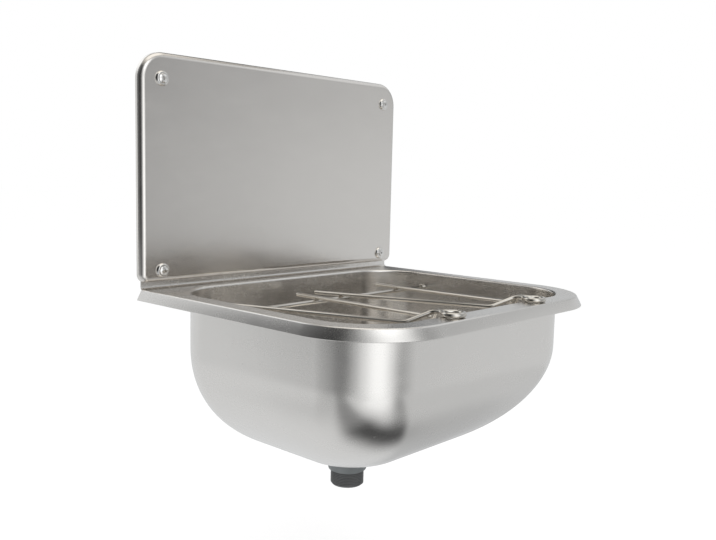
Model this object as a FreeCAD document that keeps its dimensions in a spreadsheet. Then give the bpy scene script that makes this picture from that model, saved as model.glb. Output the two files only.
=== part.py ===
import FreeCAD
import Part
import Sketcher
import math
import os
from FreeCAD import Placement, Rotation, Vector

# Wall-hung stainless steel slop sink: a deep-drawn basin, a pressed splashback fixed
# with screws in cup washers, a hinged bucket grate of bent wire and a strainer waste.
# Frame: origin on the wall at the middle of the four fixing screws, +X to the right,
# +Y into the wall, +Z up. Millimetres.

SIZES = [
    ("gauge", 1.2, "thickness of the pressed sheet"),
    ("rim_width", 500.0, "basin rim, lip to lip"),
    ("rim_depth", 420.0, "wall to the front lip"),
    ("rim_corner", 112.0, "plan radius of the front lip corners"),
    ("fold_radius", 3.0, "outer radius of the fold into the turned-down edge"),
    ("skirt_reach", 9.0, "the rim's flat to the lip, outwards"),
    ("skirt_height", 13.5, "rim top to the lip"),
    ("side_land", 19.0, "flat of the rim at the sides"),
    ("front_land", 25.0, "flat of the rim at the front"),
    ("rear_land", 15.0, "flat of the rim at the back"),
    ("bend_radius", 4.0, "inner radius of the upstand's bend"),
    ("upstand_margin", 17.0, "upstand above the lower fixing screws"),
    ("upstand_overlap", 3.5, "upstand past the rim's side folds"),
    ("draw_radius", 2.0, "outer radius from the wall of the bowl to the rim"),
    ("bowl_corner", 80.0, "plan radius of the bowl's corners"),
    ("wall_depth", 74.0, "straight wall of the bowl"),
    ("dish_depth", 152.5, "rounded bottom of the bowl"),
    ("power_side", 1.95, "fullness of the bottom at the sides"),
    ("power_front", 1.86, "fullness of the bottom at the front"),
    ("power_back", 3.2, "fullness of the bottom at the back"),
    ("drain_offset", 152.0, "wall to the waste's axis"),
    ("seat_radius", 46.0, "flat seat round the waste hole"),
    ("waste_hole", 30.0, "radius of the waste hole"),
    ("splash_width", "=rim_width", "splashback width, flush with the rim"),
    ("splash_depth", 12.0, "splashback face to the wall"),
    ("splash_gap", 9.0, "rim top to the splashback"),
    ("splash_top_corner", 36.0, "upper corner radius of the splashback"),
    ("splash_low_corner", 12.0, "lower corner radius of the splashback"),
    ("edge_radius", 8.0, "rounded edge of the splashback"),
    ("fixing_side", 32.0, "fixing screws from the side of the sink"),
    ("fixing_width", "=rim_width - 2 * fixing_side", "between the fixing screws, across"),
    ("fixing_height", 250.0, "between the fixing screws, upright"),
    ("lower_inset", 16.0, "lower screws above the splashback's edge"),
    ("upper_inset", 34.0, "upper screws below the splashback's edge"),
    ("fixing_hole", 3.2, "radius of the splashback's fixing holes"),
    ("upstand_hole", 4.0, "radius of the upstand's fixing holes, with room to set the basin"),
    ("screw_radius", 2.5, "threaded part of the fixing screw, from the wall face on"),
    ("screw_neck", 1.8, "plain neck of the fixing screw, from its head to the wall face"),
    ("screw_reach", 38.0, "fixing screw behind the wall face"),
    ("head_radius", 6.2, "fixing screw head"),
    ("head_depth", 3.4, "countersunk part of the head"),
    ("head_crown", 1.6, "raised part of the head"),
    ("cup_radius", 10.0, "cup washer"),
    ("cup_height", 3.6, "cup washer height"),
    ("cup_wall", 1.0, "cup washer sheet"),
    ("seat_clearance", 0.05, "between pieces that seat in each other"),
    ("wire_radius", 3.0, "grate wire and cross bar"),
    ("bar_lead", 0.3, "pivot bush ahead of the bowl's rear corner"),
    ("bar_below", 24.0, "rim top to the cross bar's axis"),
    ("bar_end_gap", 0.4, "cross bar's end to the wall of the bowl"),
    ("bush_radius", 6.0, "pivot bush"),
    ("bush_length", 6.0, "pivot bush along the cross bar"),
    ("pivot_clearance", 0.05, "radial clearance of the cross bar in its bush"),
    ("unit_offset", 88.0, "grate unit from the middle"),
    ("leg_rear", 70.0, "leg from the unit's middle at its cut end"),
    ("leg_front", 28.0, "leg from the unit's middle at its front bend"),
    ("leg_tail", 48.0, "leg behind the cross bar"),
    ("leg_climb", 8.0, "rise of a leg from the cross bar to the front bend"),
    ("ramp_length", 22.0, "front bend to the start of the neck"),
    ("neck_length", 26.0, "start of the neck to the middle of the finger eye"),
    ("neck_half", 3.4, "wire from the unit's middle at the neck"),
    ("eye_inset", 17.5, "middle of the finger eye from the rim's front fold"),
    ("eye_radius", 12.0, "finger eye, to the wire's middle"),
    ("eye_flare", 8.0, "bend from the neck into the eye"),
    ("wire_bend", 12.0, "bends of the legs"),
    ("weld_sink", 0.3, "wire sunk into the cross bar at the weld"),
    ("rest_gap", 0.3, "finger eye above the rim"),
    ("seal_radius", 42.0, "seal rings and flanges of the waste"),
    ("upper_seal", 2.0, "seal under the strainer's flange"),
    ("lower_seal", 3.0, "seal under the bowl"),
    ("strainer_sheet", 1.5, "strainer thickness"),
    ("strainer_depth", 10.0, "strainer cup below its flange"),
    ("strainer_hole", 2.6, "radius of the strainer's holes"),
    ("strainer_inner", 11.0, "inner ring of strainer holes"),
    ("strainer_outer", 20.0, "outer ring of strainer holes"),
    ("cup_clearance", 1.0, "strainer cup to the waste hole"),
    ("clamp_radius", 3.0, "strainer screw shank"),
    ("clamp_head", 6.5, "strainer screw head radius"),
    ("clamp_head_height", 3.0, "strainer screw head height"),
    ("collar_flange", 4.0, "thickness of the waste body's flange"),
    ("collar_top", 36.0, "radius of the collar at its top"),
    ("collar_bottom", 27.0, "radius of the collar at its foot"),
    ("collar_length", 31.0, "collar under its flange"),
    ("tail_radius", 23.9, "outside of the threaded tail"),
    ("tail_length", 22.0, "threaded tail"),
    ("tail_bore", 19.5, "waterway of the tail"),
    ("spider_width", 6.0, "arm across the waterway"),
    ("spider_height", 8.0, "height of the arm"),
    ("boss_radius", 7.0, "boss in the middle of the arm"),
]

# Heights of the bowl's sections, as shares of the rounded bottom's depth.
DISH_SHARES = (0.0, 0.14, 0.3, 0.46, 0.62, 0.76, 0.87, 0.95, 1.0)
# The bowl's lowest section is a circle but for short flats, so that every section has eight edges.
SEAT_ROUNDNESS = 0.97
INNER_HOLES = 6
OUTER_HOLES = 12
SIDES = (("left", -1), ("right", 1))
LEVELS = (("lower", -1), ("upper", 1))

doc = FreeCAD.newDocument("SlopSink")
sheet = doc.addObject("Spreadsheet::Sheet", "Sizes")
for row, (alias, value, note) in enumerate(SIZES, start=1):
    sheet.set(f"A{row}", alias)
    sheet.set(f"B{row}", str(value))
    sheet.set(f"C{row}", note)
    sheet.setAlias(f"B{row}", alias)
doc.recompute()


class Size:
    """A length or ratio together with the sheet expression that gives it."""

    def __init__(self, value, text):
        self.value = value
        self.text = text

    @staticmethod
    def of(item):
        return item if isinstance(item, Size) else Size(float(item), repr(float(item)))

    def __add__(self, other):
        other = Size.of(other)
        return Size(self.value + other.value, f"({self.text} + {other.text})")

    def __sub__(self, other):
        other = Size.of(other)
        return Size(self.value - other.value, f"({self.text} - {other.text})")

    def __mul__(self, other):
        other = Size.of(other)
        return Size(self.value * other.value, f"({self.text} * {other.text})")

    def __truediv__(self, other):
        other = Size.of(other)
        return Size(self.value / other.value, f"({self.text} / {other.text})")

    def __pow__(self, other):
        other = Size.of(other)
        return Size(self.value ** other.value, f"({self.text} ^ {other.text})")

    def __neg__(self):
        return Size.of(0.0) - self

    def __radd__(self, other):
        return Size.of(other) + self

    def __rsub__(self, other):
        return Size.of(other) - self

    def __rmul__(self, other):
        return Size.of(other) * self

    def __rtruediv__(self, other):
        return Size.of(other) / self

    def __rpow__(self, other):
        return Size.of(other) ** self


class Sheet:
    """The sheet's sizes as attributes."""

    def __init__(self, source):
        for alias, _, _ in SIZES:
            setattr(self, alias, Size(float(source.get(alias)), f"Sizes.{alias}"))


S = Sheet(sheet)
ZERO = Size.of(0.0)

# Places that several pieces share.
RIM_LEVEL = S.fixing_height / 2 + S.lower_inset + S.splash_gap
LAND_HALF = S.rim_width / 2 - S.skirt_reach
LAND_FRONT = S.rim_depth - S.skirt_reach
LAND_CORNER = S.rim_corner - S.skirt_reach
BEND_OUTER = S.bend_radius + S.gauge
UPSTAND_HALF = LAND_HALF + S.upstand_overlap
BOWL_HALF = LAND_HALF - S.side_land - S.draw_radius
BOWL_FRONT = LAND_FRONT - S.front_land - S.draw_radius
BOWL_BACK = BEND_OUTER + S.rear_land + S.draw_radius
BOWL_DEPTH = S.wall_depth + S.dish_depth
FLOOR_LEVEL = RIM_LEVEL + BOWL_DEPTH - S.gauge
UNDERSIDE_LEVEL = RIM_LEVEL + BOWL_DEPTH
BAR_LEVEL = RIM_LEVEL + S.bar_below
BAR_OFFSET = BOWL_BACK + S.bowl_corner + S.bush_radius + S.bar_lead
EYE_REACH = LAND_FRONT - S.eye_inset - BAR_OFFSET
NECK_REACH = EYE_REACH - S.neck_length
LEG_REACH = NECK_REACH - S.ramp_length


def bind(item, name, size):
    item.setExpression(name, size.text)


def place(item, x=ZERO, y=ZERO, z=ZERO, rotation=Rotation()):
    """Puts a piece at a place that follows the sheet."""
    item.Placement = Placement(Vector(x.value, y.value, z.value), rotation)
    for axis, size in (("x", x), ("y", y), ("z", z)):
        bind(item, f"Placement.Base.{axis}", size)


def new_body(label):
    body = doc.addObject("PartDesign::Body", label)
    body.Label = label
    return body


def new_sketch(body, name, role, offset=ZERO):
    """A sketch on one of the body's origin planes, moved along the plane's normal."""
    sketch = body.newObject("Sketcher::SketchObject", name)
    plane = next(item for item in body.Origin.OriginFeatures if item.Role == role)
    sketch.AttachmentSupport = (plane, "")
    sketch.MapMode = "FlatFace"
    sketch.AttachmentOffset = Placement(Vector(0, 0, offset.value), Rotation())
    bind(sketch, "AttachmentOffset.Base.z", offset)
    return sketch


def fix_point(sketch, geometry, end, x=None, y=None):
    """Dimensions a point of a sketch from the sketch's origin."""
    for kind, axis, size in (("DistanceX", -2, x), ("DistanceY", -1, y)):
        if size is None:
            continue
        if size is ZERO:
            sketch.addConstraint(Sketcher.Constraint("PointOnObject", geometry, end, axis))
            continue
        index = sketch.addConstraint(Sketcher.Constraint(kind, -1, 1, geometry, end, size.value))
        bind(sketch, f"Constraints[{index}]", size)


def fix_radius(sketch, geometry, radius):
    index = sketch.addConstraint(Sketcher.Constraint("Radius", geometry, radius.value))
    bind(sketch, f"Constraints[{index}]", radius)


def draw_outline(sketch, points):
    """A closed outline of straight lines through points that follow the sheet."""
    corners = [Vector(x.value, y.value, 0) for x, y in points]
    count = len(corners)
    lines = []
    for index in range(count):
        segment = Part.LineSegment(corners[index], corners[(index + 1) % count])
        lines.append(sketch.addGeometry(segment, False))
    for index in range(count):
        following = lines[(index + 1) % count]
        sketch.addConstraint(Sketcher.Constraint("Coincident", lines[index], 2, following, 1))
    for line, (x, y) in zip(lines, points):
        fix_point(sketch, line, 1, x, y)


def draw_circle(sketch, x, y, radius):
    circle = Part.Circle(Vector(x.value, y.value, 0), Vector(0, 0, 1), radius.value)
    index = sketch.addGeometry(circle, False)
    fix_point(sketch, index, 3, x, y)
    fix_radius(sketch, index, radius)


def draw_arc(sketch, x, y, radius, start, end):
    """An arc about a centre, from one angle to the other in degrees."""
    circle = Part.Circle(Vector(x.value, y.value, 0), Vector(0, 0, 1), radius.value)
    return sketch.addGeometry(Part.ArcOfCircle(circle, math.radians(start), math.radians(end)), False)


def draw_line(sketch, start, end):
    ends = [Vector(x.value, y.value, 0) for x, y in (start, end)]
    return sketch.addGeometry(Part.LineSegment(*ends), False)


def draw_rounded_rectangle(sketch, half, low, high, low_corner, high_corner):
    """A rectangle about the upright axis, with a radius for each pair of corners."""
    bottom = draw_line(sketch, (low_corner - half, low), (half - low_corner, low))
    low_right = draw_arc(sketch, half - low_corner, low + low_corner, low_corner, 270, 360)
    right = draw_line(sketch, (half, low + low_corner), (half, high - high_corner))
    high_right = draw_arc(sketch, half - high_corner, high - high_corner, high_corner, 0, 90)
    top = draw_line(sketch, (half - high_corner, high), (high_corner - half, high))
    high_left = draw_arc(sketch, high_corner - half, high - high_corner, high_corner, 90, 180)
    left = draw_line(sketch, (-half, high - high_corner), (-half, low + low_corner))
    low_left = draw_arc(sketch, low_corner - half, low + low_corner, low_corner, 180, 270)
    ring = [bottom, low_right, right, high_right, top, high_left, left, low_left]
    for index, geometry in enumerate(ring):
        following = ring[(index + 1) % len(ring)]
        sketch.addConstraint(Sketcher.Constraint("Tangent", geometry, 2, following, 1))
    for line in (bottom, top):
        sketch.addConstraint(Sketcher.Constraint("Horizontal", line))
    for line in (left, right):
        sketch.addConstraint(Sketcher.Constraint("Vertical", line))
    fix_point(sketch, left, 1, x=-half)
    fix_point(sketch, right, 1, x=half)
    fix_point(sketch, bottom, 1, y=low)
    fix_point(sketch, top, 1, y=high)
    for arc, radius in ((low_right, low_corner), (low_left, low_corner),
                        (high_right, high_corner), (high_left, high_corner)):
        fix_radius(sketch, arc, radius)


def pad(body, name, sketch, length, reverse=False, both_ways=False):
    feature = body.newObject("PartDesign::Pad", name)
    feature.Profile = sketch
    feature.Reversed = reverse
    feature.Midplane = both_ways
    bind(feature, "Length", length)
    return feature


def pocket(body, name, sketch, length, reverse=False, both_ways=False):
    feature = body.newObject("PartDesign::Pocket", name)
    feature.Profile = sketch
    feature.Reversed = reverse
    feature.Midplane = both_ways
    bind(feature, "Length", length)
    return feature


def revolved_body(label, outline):
    """A body turned about its own Z axis, from an outline of radius and height."""
    body = new_body(label)
    sketch = new_sketch(body, f"{label}_outline", "XZ_Plane")
    draw_outline(sketch, outline)
    turn = body.newObject("PartDesign::Revolution", f"{label}_turn")
    turn.Profile = sketch
    turn.ReferenceAxis = (sketch, ["V_Axis"])
    turn.Angle = 360
    return body


def fillet(body, name, radius, chosen):
    """Rounds the edges of the body's last feature that a test accepts."""
    doc.recompute()
    base = body.Tip
    names = [f"Edge{index}" for index, edge in enumerate(base.Shape.Edges, start=1) if chosen(edge)]
    if not names:
        raise RuntimeError(f"{body.Label}: no edge for {name}")
    feature = body.newObject("PartDesign::Fillet", name)
    feature.Base = (base, names)
    bind(feature, "Radius", radius)
    return feature


def edge_at(axis, position):
    """A test for edges that lie in one plane across an axis."""
    def lies_in_plane(edge):
        box = edge.BoundBox
        low, high = {"y": (box.YMin, box.YMax), "z": (box.ZMin, box.ZMax)}[axis]
        return abs(low - position) < 1e-4 and abs(high - position) < 1e-4
    return lies_in_plane


def dish_section(body, name, share, inset):
    """One section of the bowl's rounded bottom, drawn in by the sheet's thickness."""
    closing = [1 - (1 - share ** power) ** (1 / power)
               for power in (S.power_side, S.power_front, S.power_back)]
    half = BOWL_HALF - inset
    front = BOWL_FRONT - inset
    back = BOWL_BACK + inset
    corner = S.bowl_corner - inset
    half = half - (half - S.seat_radius) * closing[0]
    front = front - (front - S.drain_offset - S.seat_radius) * closing[1]
    back = back + (S.drain_offset - S.seat_radius - back) * closing[2]
    seat_corner = S.seat_radius * SEAT_ROUNDNESS
    mean_closing = (closing[0] + closing[1] + closing[2]) / 3
    corner = corner - (corner - seat_corner) * mean_closing
    level = S.wall_depth + (S.dish_depth - inset) * share
    sketch = new_sketch(body, name, "XY_Plane", -level)
    draw_rounded_rectangle(sketch, half, -front, -back, corner, corner)
    return sketch


def dish_loft(body, kind, name, inset):
    sections = [dish_section(body, f"{name}_{index}", share, inset)
                for index, share in enumerate(DISH_SHARES)]
    loft = body.newObject(kind, name)
    loft.Profile = sections[0]
    loft.Sections = sections[1:]
    loft.Ruled = False
    return loft


def bowl_outline(body, name, inset):
    sketch = new_sketch(body, name, "XY_Plane")
    corner = S.bowl_corner - inset
    draw_rounded_rectangle(sketch, BOWL_HALF - inset, inset - BOWL_FRONT, -BOWL_BACK - inset, corner, corner)
    return sketch


def land_outline(body):
    """The flat of the rim: square at the wall, rounded at the front."""
    sketch = new_sketch(body, "land_outline", "XY_Plane")
    turn = LAND_HALF - LAND_CORNER
    corner_y = LAND_CORNER - LAND_FRONT
    left = draw_line(sketch, (-LAND_HALF, -BEND_OUTER), (-LAND_HALF, corner_y))
    left_turn = draw_arc(sketch, -turn, corner_y, LAND_CORNER, 180, 270)
    front = draw_line(sketch, (-turn, -LAND_FRONT), (turn, -LAND_FRONT))
    right_turn = draw_arc(sketch, turn, corner_y, LAND_CORNER, 270, 360)
    right = draw_line(sketch, (LAND_HALF, corner_y), (LAND_HALF, -BEND_OUTER))
    back = draw_line(sketch, (LAND_HALF, -BEND_OUTER), (-LAND_HALF, -BEND_OUTER))
    chain = [left, left_turn, front, right_turn, right]
    for first, second in zip(chain, chain[1:]):
        sketch.addConstraint(Sketcher.Constraint("Tangent", first, 2, second, 1))
    sketch.addConstraint(Sketcher.Constraint("Coincident", right, 2, back, 1))
    sketch.addConstraint(Sketcher.Constraint("Coincident", back, 2, left, 1))
    for line in (front, back):
        sketch.addConstraint(Sketcher.Constraint("Horizontal", line))
    for line in (left, right):
        sketch.addConstraint(Sketcher.Constraint("Vertical", line))
    fix_point(sketch, left, 1, -LAND_HALF, -BEND_OUTER)
    fix_point(sketch, right, 2, x=LAND_HALF)
    fix_point(sketch, front, 1, y=-LAND_FRONT)
    for arc in (left_turn, right_turn):
        fix_radius(sketch, arc, LAND_CORNER)
    return sketch


def skirt_profile(body):
    """The turned-down edge: a tight fold and a flared drop to the lip, one sheet thick."""
    sketch = new_sketch(body, "skirt_profile", "XZ_Plane")
    lip = LAND_HALF + S.skirt_reach
    inner = S.fold_radius - S.gauge
    drop_height = (S.skirt_height - S.fold_radius).value
    turn = math.atan2(drop_height, S.skirt_reach.value)
    turn += math.asin(S.fold_radius.value / math.hypot(drop_height, S.skirt_reach.value))
    ends = [(-LAND_HALF - radius * math.sin(turn), radius * math.cos(turn) - S.fold_radius)
            for radius in (S.fold_radius, inner)]
    back_lip = S.gauge / math.sin(turn) - lip
    outside = draw_arc(sketch, -LAND_HALF, -S.fold_radius, S.fold_radius, 90, 90 + math.degrees(turn))
    drop = draw_line(sketch, ends[0], (-lip, -S.skirt_height))
    edge = draw_line(sketch, (-lip, -S.skirt_height), (back_lip, -S.skirt_height))
    back = draw_line(sketch, (back_lip, -S.skirt_height), ends[1])
    inside = draw_arc(sketch, -LAND_HALF, -S.fold_radius, inner, 90, 90 + math.degrees(turn))
    joint = draw_line(sketch, (-LAND_HALF, -S.gauge), (-LAND_HALF, ZERO))
    sketch.addConstraint(Sketcher.Constraint("Tangent", outside, 2, drop, 1))
    sketch.addConstraint(Sketcher.Constraint("Coincident", drop, 2, edge, 1))
    sketch.addConstraint(Sketcher.Constraint("Coincident", edge, 2, back, 1))
    sketch.addConstraint(Sketcher.Constraint("Tangent", back, 2, inside, 2))
    sketch.addConstraint(Sketcher.Constraint("Coincident", inside, 1, joint, 1))
    sketch.addConstraint(Sketcher.Constraint("Coincident", joint, 2, outside, 1))
    sketch.addConstraint(Sketcher.Constraint("Coincident", inside, 3, outside, 3))
    sketch.addConstraint(Sketcher.Constraint("Horizontal", edge))
    sketch.addConstraint(Sketcher.Constraint("Vertical", joint))
    sketch.addConstraint(Sketcher.Constraint("Parallel", drop, back))
    fix_point(sketch, joint, 2, -LAND_HALF, ZERO)
    fix_point(sketch, joint, 1, y=-S.gauge)
    fix_point(sketch, drop, 2, -lip, -S.skirt_height)
    fix_point(sketch, outside, 3, x=-LAND_HALF)
    fix_radius(sketch, outside, S.fold_radius)
    return sketch


def skirt_path(body):
    """The edge of the rim's flat, from the wall round the front and back to the wall."""
    sketch = new_sketch(body, "skirt_path", "XY_Plane")
    turn = LAND_HALF - LAND_CORNER
    corner_y = LAND_CORNER - LAND_FRONT
    left = draw_line(sketch, (-LAND_HALF, ZERO), (-LAND_HALF, corner_y))
    left_turn = draw_arc(sketch, -turn, corner_y, LAND_CORNER, 180, 270)
    front = draw_line(sketch, (-turn, -LAND_FRONT), (turn, -LAND_FRONT))
    right_turn = draw_arc(sketch, turn, corner_y, LAND_CORNER, 270, 360)
    right = draw_line(sketch, (LAND_HALF, corner_y), (LAND_HALF, ZERO))
    chain = [left, left_turn, front, right_turn, right]
    for first, second in zip(chain, chain[1:]):
        sketch.addConstraint(Sketcher.Constraint("Tangent", first, 2, second, 1))
    sketch.addConstraint(Sketcher.Constraint("Horizontal", front))
    for line in (left, right):
        sketch.addConstraint(Sketcher.Constraint("Vertical", line))
    fix_point(sketch, left, 1, -LAND_HALF, ZERO)
    fix_point(sketch, right, 2, LAND_HALF, ZERO)
    fix_point(sketch, front, 1, y=-LAND_FRONT)
    for arc in (left_turn, right_turn):
        fix_radius(sketch, arc, LAND_CORNER)
    return sketch


def upstand_profile(body):
    """The rear edge turned up against the wall, with its bend."""
    sketch = new_sketch(body, "upstand_profile", "YZ_Plane")
    top = S.splash_gap + S.lower_inset + S.upstand_margin
    inside = draw_arc(sketch, -BEND_OUTER, S.bend_radius, S.bend_radius, 270, 360)
    front = draw_line(sketch, (-S.gauge, S.bend_radius), (-S.gauge, top))
    edge = draw_line(sketch, (-S.gauge, top), (ZERO, top))
    back = draw_line(sketch, (ZERO, top), (ZERO, S.bend_radius))
    outside = draw_arc(sketch, -BEND_OUTER, S.bend_radius, BEND_OUTER, 270, 360)
    joint = draw_line(sketch, (-BEND_OUTER, -S.gauge), (-BEND_OUTER, ZERO))
    sketch.addConstraint(Sketcher.Constraint("Tangent", inside, 2, front, 1))
    sketch.addConstraint(Sketcher.Constraint("Coincident", front, 2, edge, 1))
    sketch.addConstraint(Sketcher.Constraint("Coincident", edge, 2, back, 1))
    sketch.addConstraint(Sketcher.Constraint("Tangent", back, 2, outside, 2))
    sketch.addConstraint(Sketcher.Constraint("Coincident", outside, 1, joint, 1))
    sketch.addConstraint(Sketcher.Constraint("Coincident", joint, 2, inside, 1))
    sketch.addConstraint(Sketcher.Constraint("Horizontal", edge))
    for line in (front, back, joint):
        sketch.addConstraint(Sketcher.Constraint("Vertical", line))
    fix_point(sketch, joint, 2, -BEND_OUTER, ZERO)
    fix_point(sketch, joint, 1, y=-S.gauge)
    fix_point(sketch, edge, 2, ZERO, top)
    fix_point(sketch, front, 2, x=-S.gauge)
    fix_radius(sketch, inside, S.bend_radius)
    fix_radius(sketch, outside, BEND_OUTER)
    return sketch


def build_basin():
    """Bowl, rim, turned-down edge and upstand, drawn from one sheet."""
    body = new_body("basin")
    pad(body, "land", land_outline(body), S.gauge, reverse=True)
    skirt = body.newObject("PartDesign::AdditivePipe", "skirt")
    skirt.Profile = skirt_profile(body)
    path = skirt_path(body)
    doc.recompute()
    skirt.Spine = (path, [f"Edge{index}" for index in range(1, len(path.Shape.Edges) + 1)])
    pad(body, "upstand", upstand_profile(body), UPSTAND_HALF * 2, both_ways=True)
    pad(body, "wall_block", bowl_outline(body, "wall_outline", ZERO), S.wall_depth, reverse=True)
    dish_loft(body, "PartDesign::AdditiveLoft", "dish_block", ZERO)
    pocket(body, "wall_hollow", bowl_outline(body, "hollow_outline", S.gauge), S.wall_depth)
    dish_loft(body, "PartDesign::SubtractiveLoft", "dish_hollow", S.gauge)
    drain = new_sketch(body, "waste_hole_outline", "XY_Plane", -BOWL_DEPTH)
    draw_circle(drain, ZERO, -S.drain_offset, S.waste_hole)
    pocket(body, "waste_opening", drain, S.gauge * 4, both_ways=True)
    holes = new_sketch(body, "fixing_holes_outline", "XZ_Plane")
    for _, side in SIDES:
        draw_circle(holes, S.fixing_width * side / 2, S.splash_gap + S.lower_inset, S.upstand_hole)
    pocket(body, "fixing_holes", holes, S.gauge * 4, both_ways=True)
    fillet(body, "draw_underside", S.draw_radius, rim_junction(-S.gauge.value))
    fillet(body, "draw_edge", S.draw_radius + S.gauge, rim_junction(0.0))
    place(body, z=-RIM_LEVEL)
    return body


def rim_junction(height):
    """A test for the edges where the bowl's wall meets the rim at one height."""
    in_plane = edge_at("z", height)
    margin = S.gauge.value + S.draw_radius.value / 2

    def is_junction(edge):
        box = edge.BoundBox
        inside = box.XMax < BOWL_HALF.value + margin and box.XMin > -BOWL_HALF.value - margin
        level = box.YMin > -BOWL_FRONT.value - margin and box.YMax < margin - BOWL_BACK.value
        return in_plane(edge) and inside and level
    return is_junction


def build_splashback():
    """A pressed panel with a rounded, returned edge, hollow behind."""
    body = new_body("splashback")
    half = S.splash_width / 2
    low = -(S.fixing_height / 2 + S.lower_inset)
    high = S.fixing_height / 2 + S.upper_inset
    outline = new_sketch(body, "panel_outline", "XZ_Plane")
    draw_rounded_rectangle(outline, half, low, high, S.splash_low_corner, S.splash_top_corner)
    pad(body, "panel", outline, S.splash_depth)
    hollow = new_sketch(body, "hollow_outline", "XZ_Plane")
    draw_rounded_rectangle(hollow, half - S.gauge, low + S.gauge, high - S.gauge,
                           S.splash_low_corner - S.gauge, S.splash_top_corner - S.gauge)
    pocket(body, "hollow", hollow, S.splash_depth - S.gauge, reverse=True)
    fillet(body, "hollow_edge", S.edge_radius - S.gauge, edge_at("y", S.gauge.value - S.splash_depth.value))
    fillet(body, "panel_edge", S.edge_radius, edge_at("y", -S.splash_depth.value))
    holes = new_sketch(body, "fixing_holes_outline", "XZ_Plane")
    for _, side in SIDES:
        for _, level in LEVELS:
            draw_circle(holes, S.fixing_width * side / 2, S.fixing_height * level / 2, S.fixing_hole)
    pocket(body, "fixing_holes", holes, S.splash_depth * 2, reverse=True)
    # The lower return is cut back to sit on the face of the upstand.
    relief = new_sketch(body, "upstand_relief_outline", "XZ_Plane")
    reach = UPSTAND_HALF + S.gauge
    draw_outline(relief, [(-reach, low - S.gauge), (reach, low - S.gauge),
                          (reach, low + S.gauge * 2), (-reach, low + S.gauge * 2)])
    pocket(body, "upstand_relief", relief, S.gauge, reverse=True)
    place(body)
    return body


FACING_FRONT = Rotation(Vector(1, 0, 0), 90)
ALONG_X = Rotation(Vector(0, 1, 0), 90)


def fixing_place(item, side, level):
    """On the splashback's face at one of its fixing holes, facing the front."""
    place(item, S.fixing_width * side / 2, -S.splash_depth, S.fixing_height * level / 2, FACING_FRONT)


def build_fixings():
    """A raised countersunk screw in a cup washer at each corner of the splashback."""
    pieces = []
    seat_low = S.cup_height - S.head_depth
    cup = [(S.fixing_hole, ZERO), (S.cup_radius, ZERO), (S.cup_radius - S.cup_wall / 2, S.cup_height / 2),
           (S.cup_radius - S.cup_wall * 2, S.cup_height), (S.head_radius + S.seat_clearance, S.cup_height),
           (S.fixing_hole, seat_low)]
    foot = -(S.splash_depth + S.screw_reach)
    crown = S.cup_height + S.head_crown
    screw = [(ZERO, foot), (S.screw_radius / 2, foot), (S.screw_radius, foot + S.screw_radius * 2),
             (S.screw_radius, -S.splash_depth), (S.screw_neck, -S.splash_depth),
             (S.screw_neck, seat_low), (S.head_radius, S.cup_height),
             (S.head_radius * 0.7, S.cup_height + S.head_crown * 0.7), (ZERO, crown)]
    for level_name, level in LEVELS:
        for side_name, side in SIDES:
            washer = revolved_body(f"cup_washer_{level_name}_{side_name}", cup)
            fixing_place(washer, side, level)
            fixing = revolved_body(f"fixing_screw_{level_name}_{side_name}", screw)
            fixing_place(fixing, side, level)
            pieces += [washer, fixing]
    return pieces


def build_pivots():
    """The cross bar and the two bushes on the bowl's side walls that it turns in."""
    wall = BOWL_HALF - S.gauge
    reach = wall - S.bar_end_gap
    chamfer = S.wire_radius / 4
    bar = revolved_body("cross_bar", [(ZERO, -reach), (S.wire_radius - chamfer, -reach),
                                      (S.wire_radius, chamfer - reach), (S.wire_radius, reach - chamfer),
                                      (S.wire_radius - chamfer, reach), (ZERO, reach)])
    place(bar, ZERO, -BAR_OFFSET, -BAR_LEVEL, ALONG_X)
    bore = S.wire_radius + S.pivot_clearance
    edge = (S.bush_radius - bore) / 3
    pieces = [bar]
    for side_name, side in SIDES:
        ends = (wall * side, (wall - S.bush_length) * side)
        brow = (wall - S.bush_length + edge) * side
        bush = revolved_body(f"pivot_bush_{side_name}", [(bore, ends[0]), (S.bush_radius, ends[0]),
                                                        (S.bush_radius, brow), (S.bush_radius - edge, ends[1]),
                                                        (bore, ends[1])])
        place(bush, ZERO, -BAR_OFFSET, -BAR_LEVEL, ALONG_X)
        pieces.append(bush)
    return pieces


def bend_edges(points, radius):
    """Straight runs through points, joined by tangent arcs of one radius."""
    edges = []
    start = points[0]
    for before, corner, after in zip(points, points[1:], points[2:]):
        arriving = (corner - before).normalize()
        leaving = (after - corner).normalize()
        turn = arriving.getAngle(leaving)
        cut = radius * math.tan(turn / 2)
        inward = (leaving - arriving).normalize()
        middle = corner + inward * (radius / math.cos(turn / 2) - radius)
        entry = corner - arriving * cut
        end = corner + leaving * cut
        edges.append(Part.LineSegment(start, entry).toShape())
        edges.append(Part.Arc(entry, middle, end).toShape())
        start = end
    edges.append(Part.LineSegment(start, points[-1]).toShape())
    return edges


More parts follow.
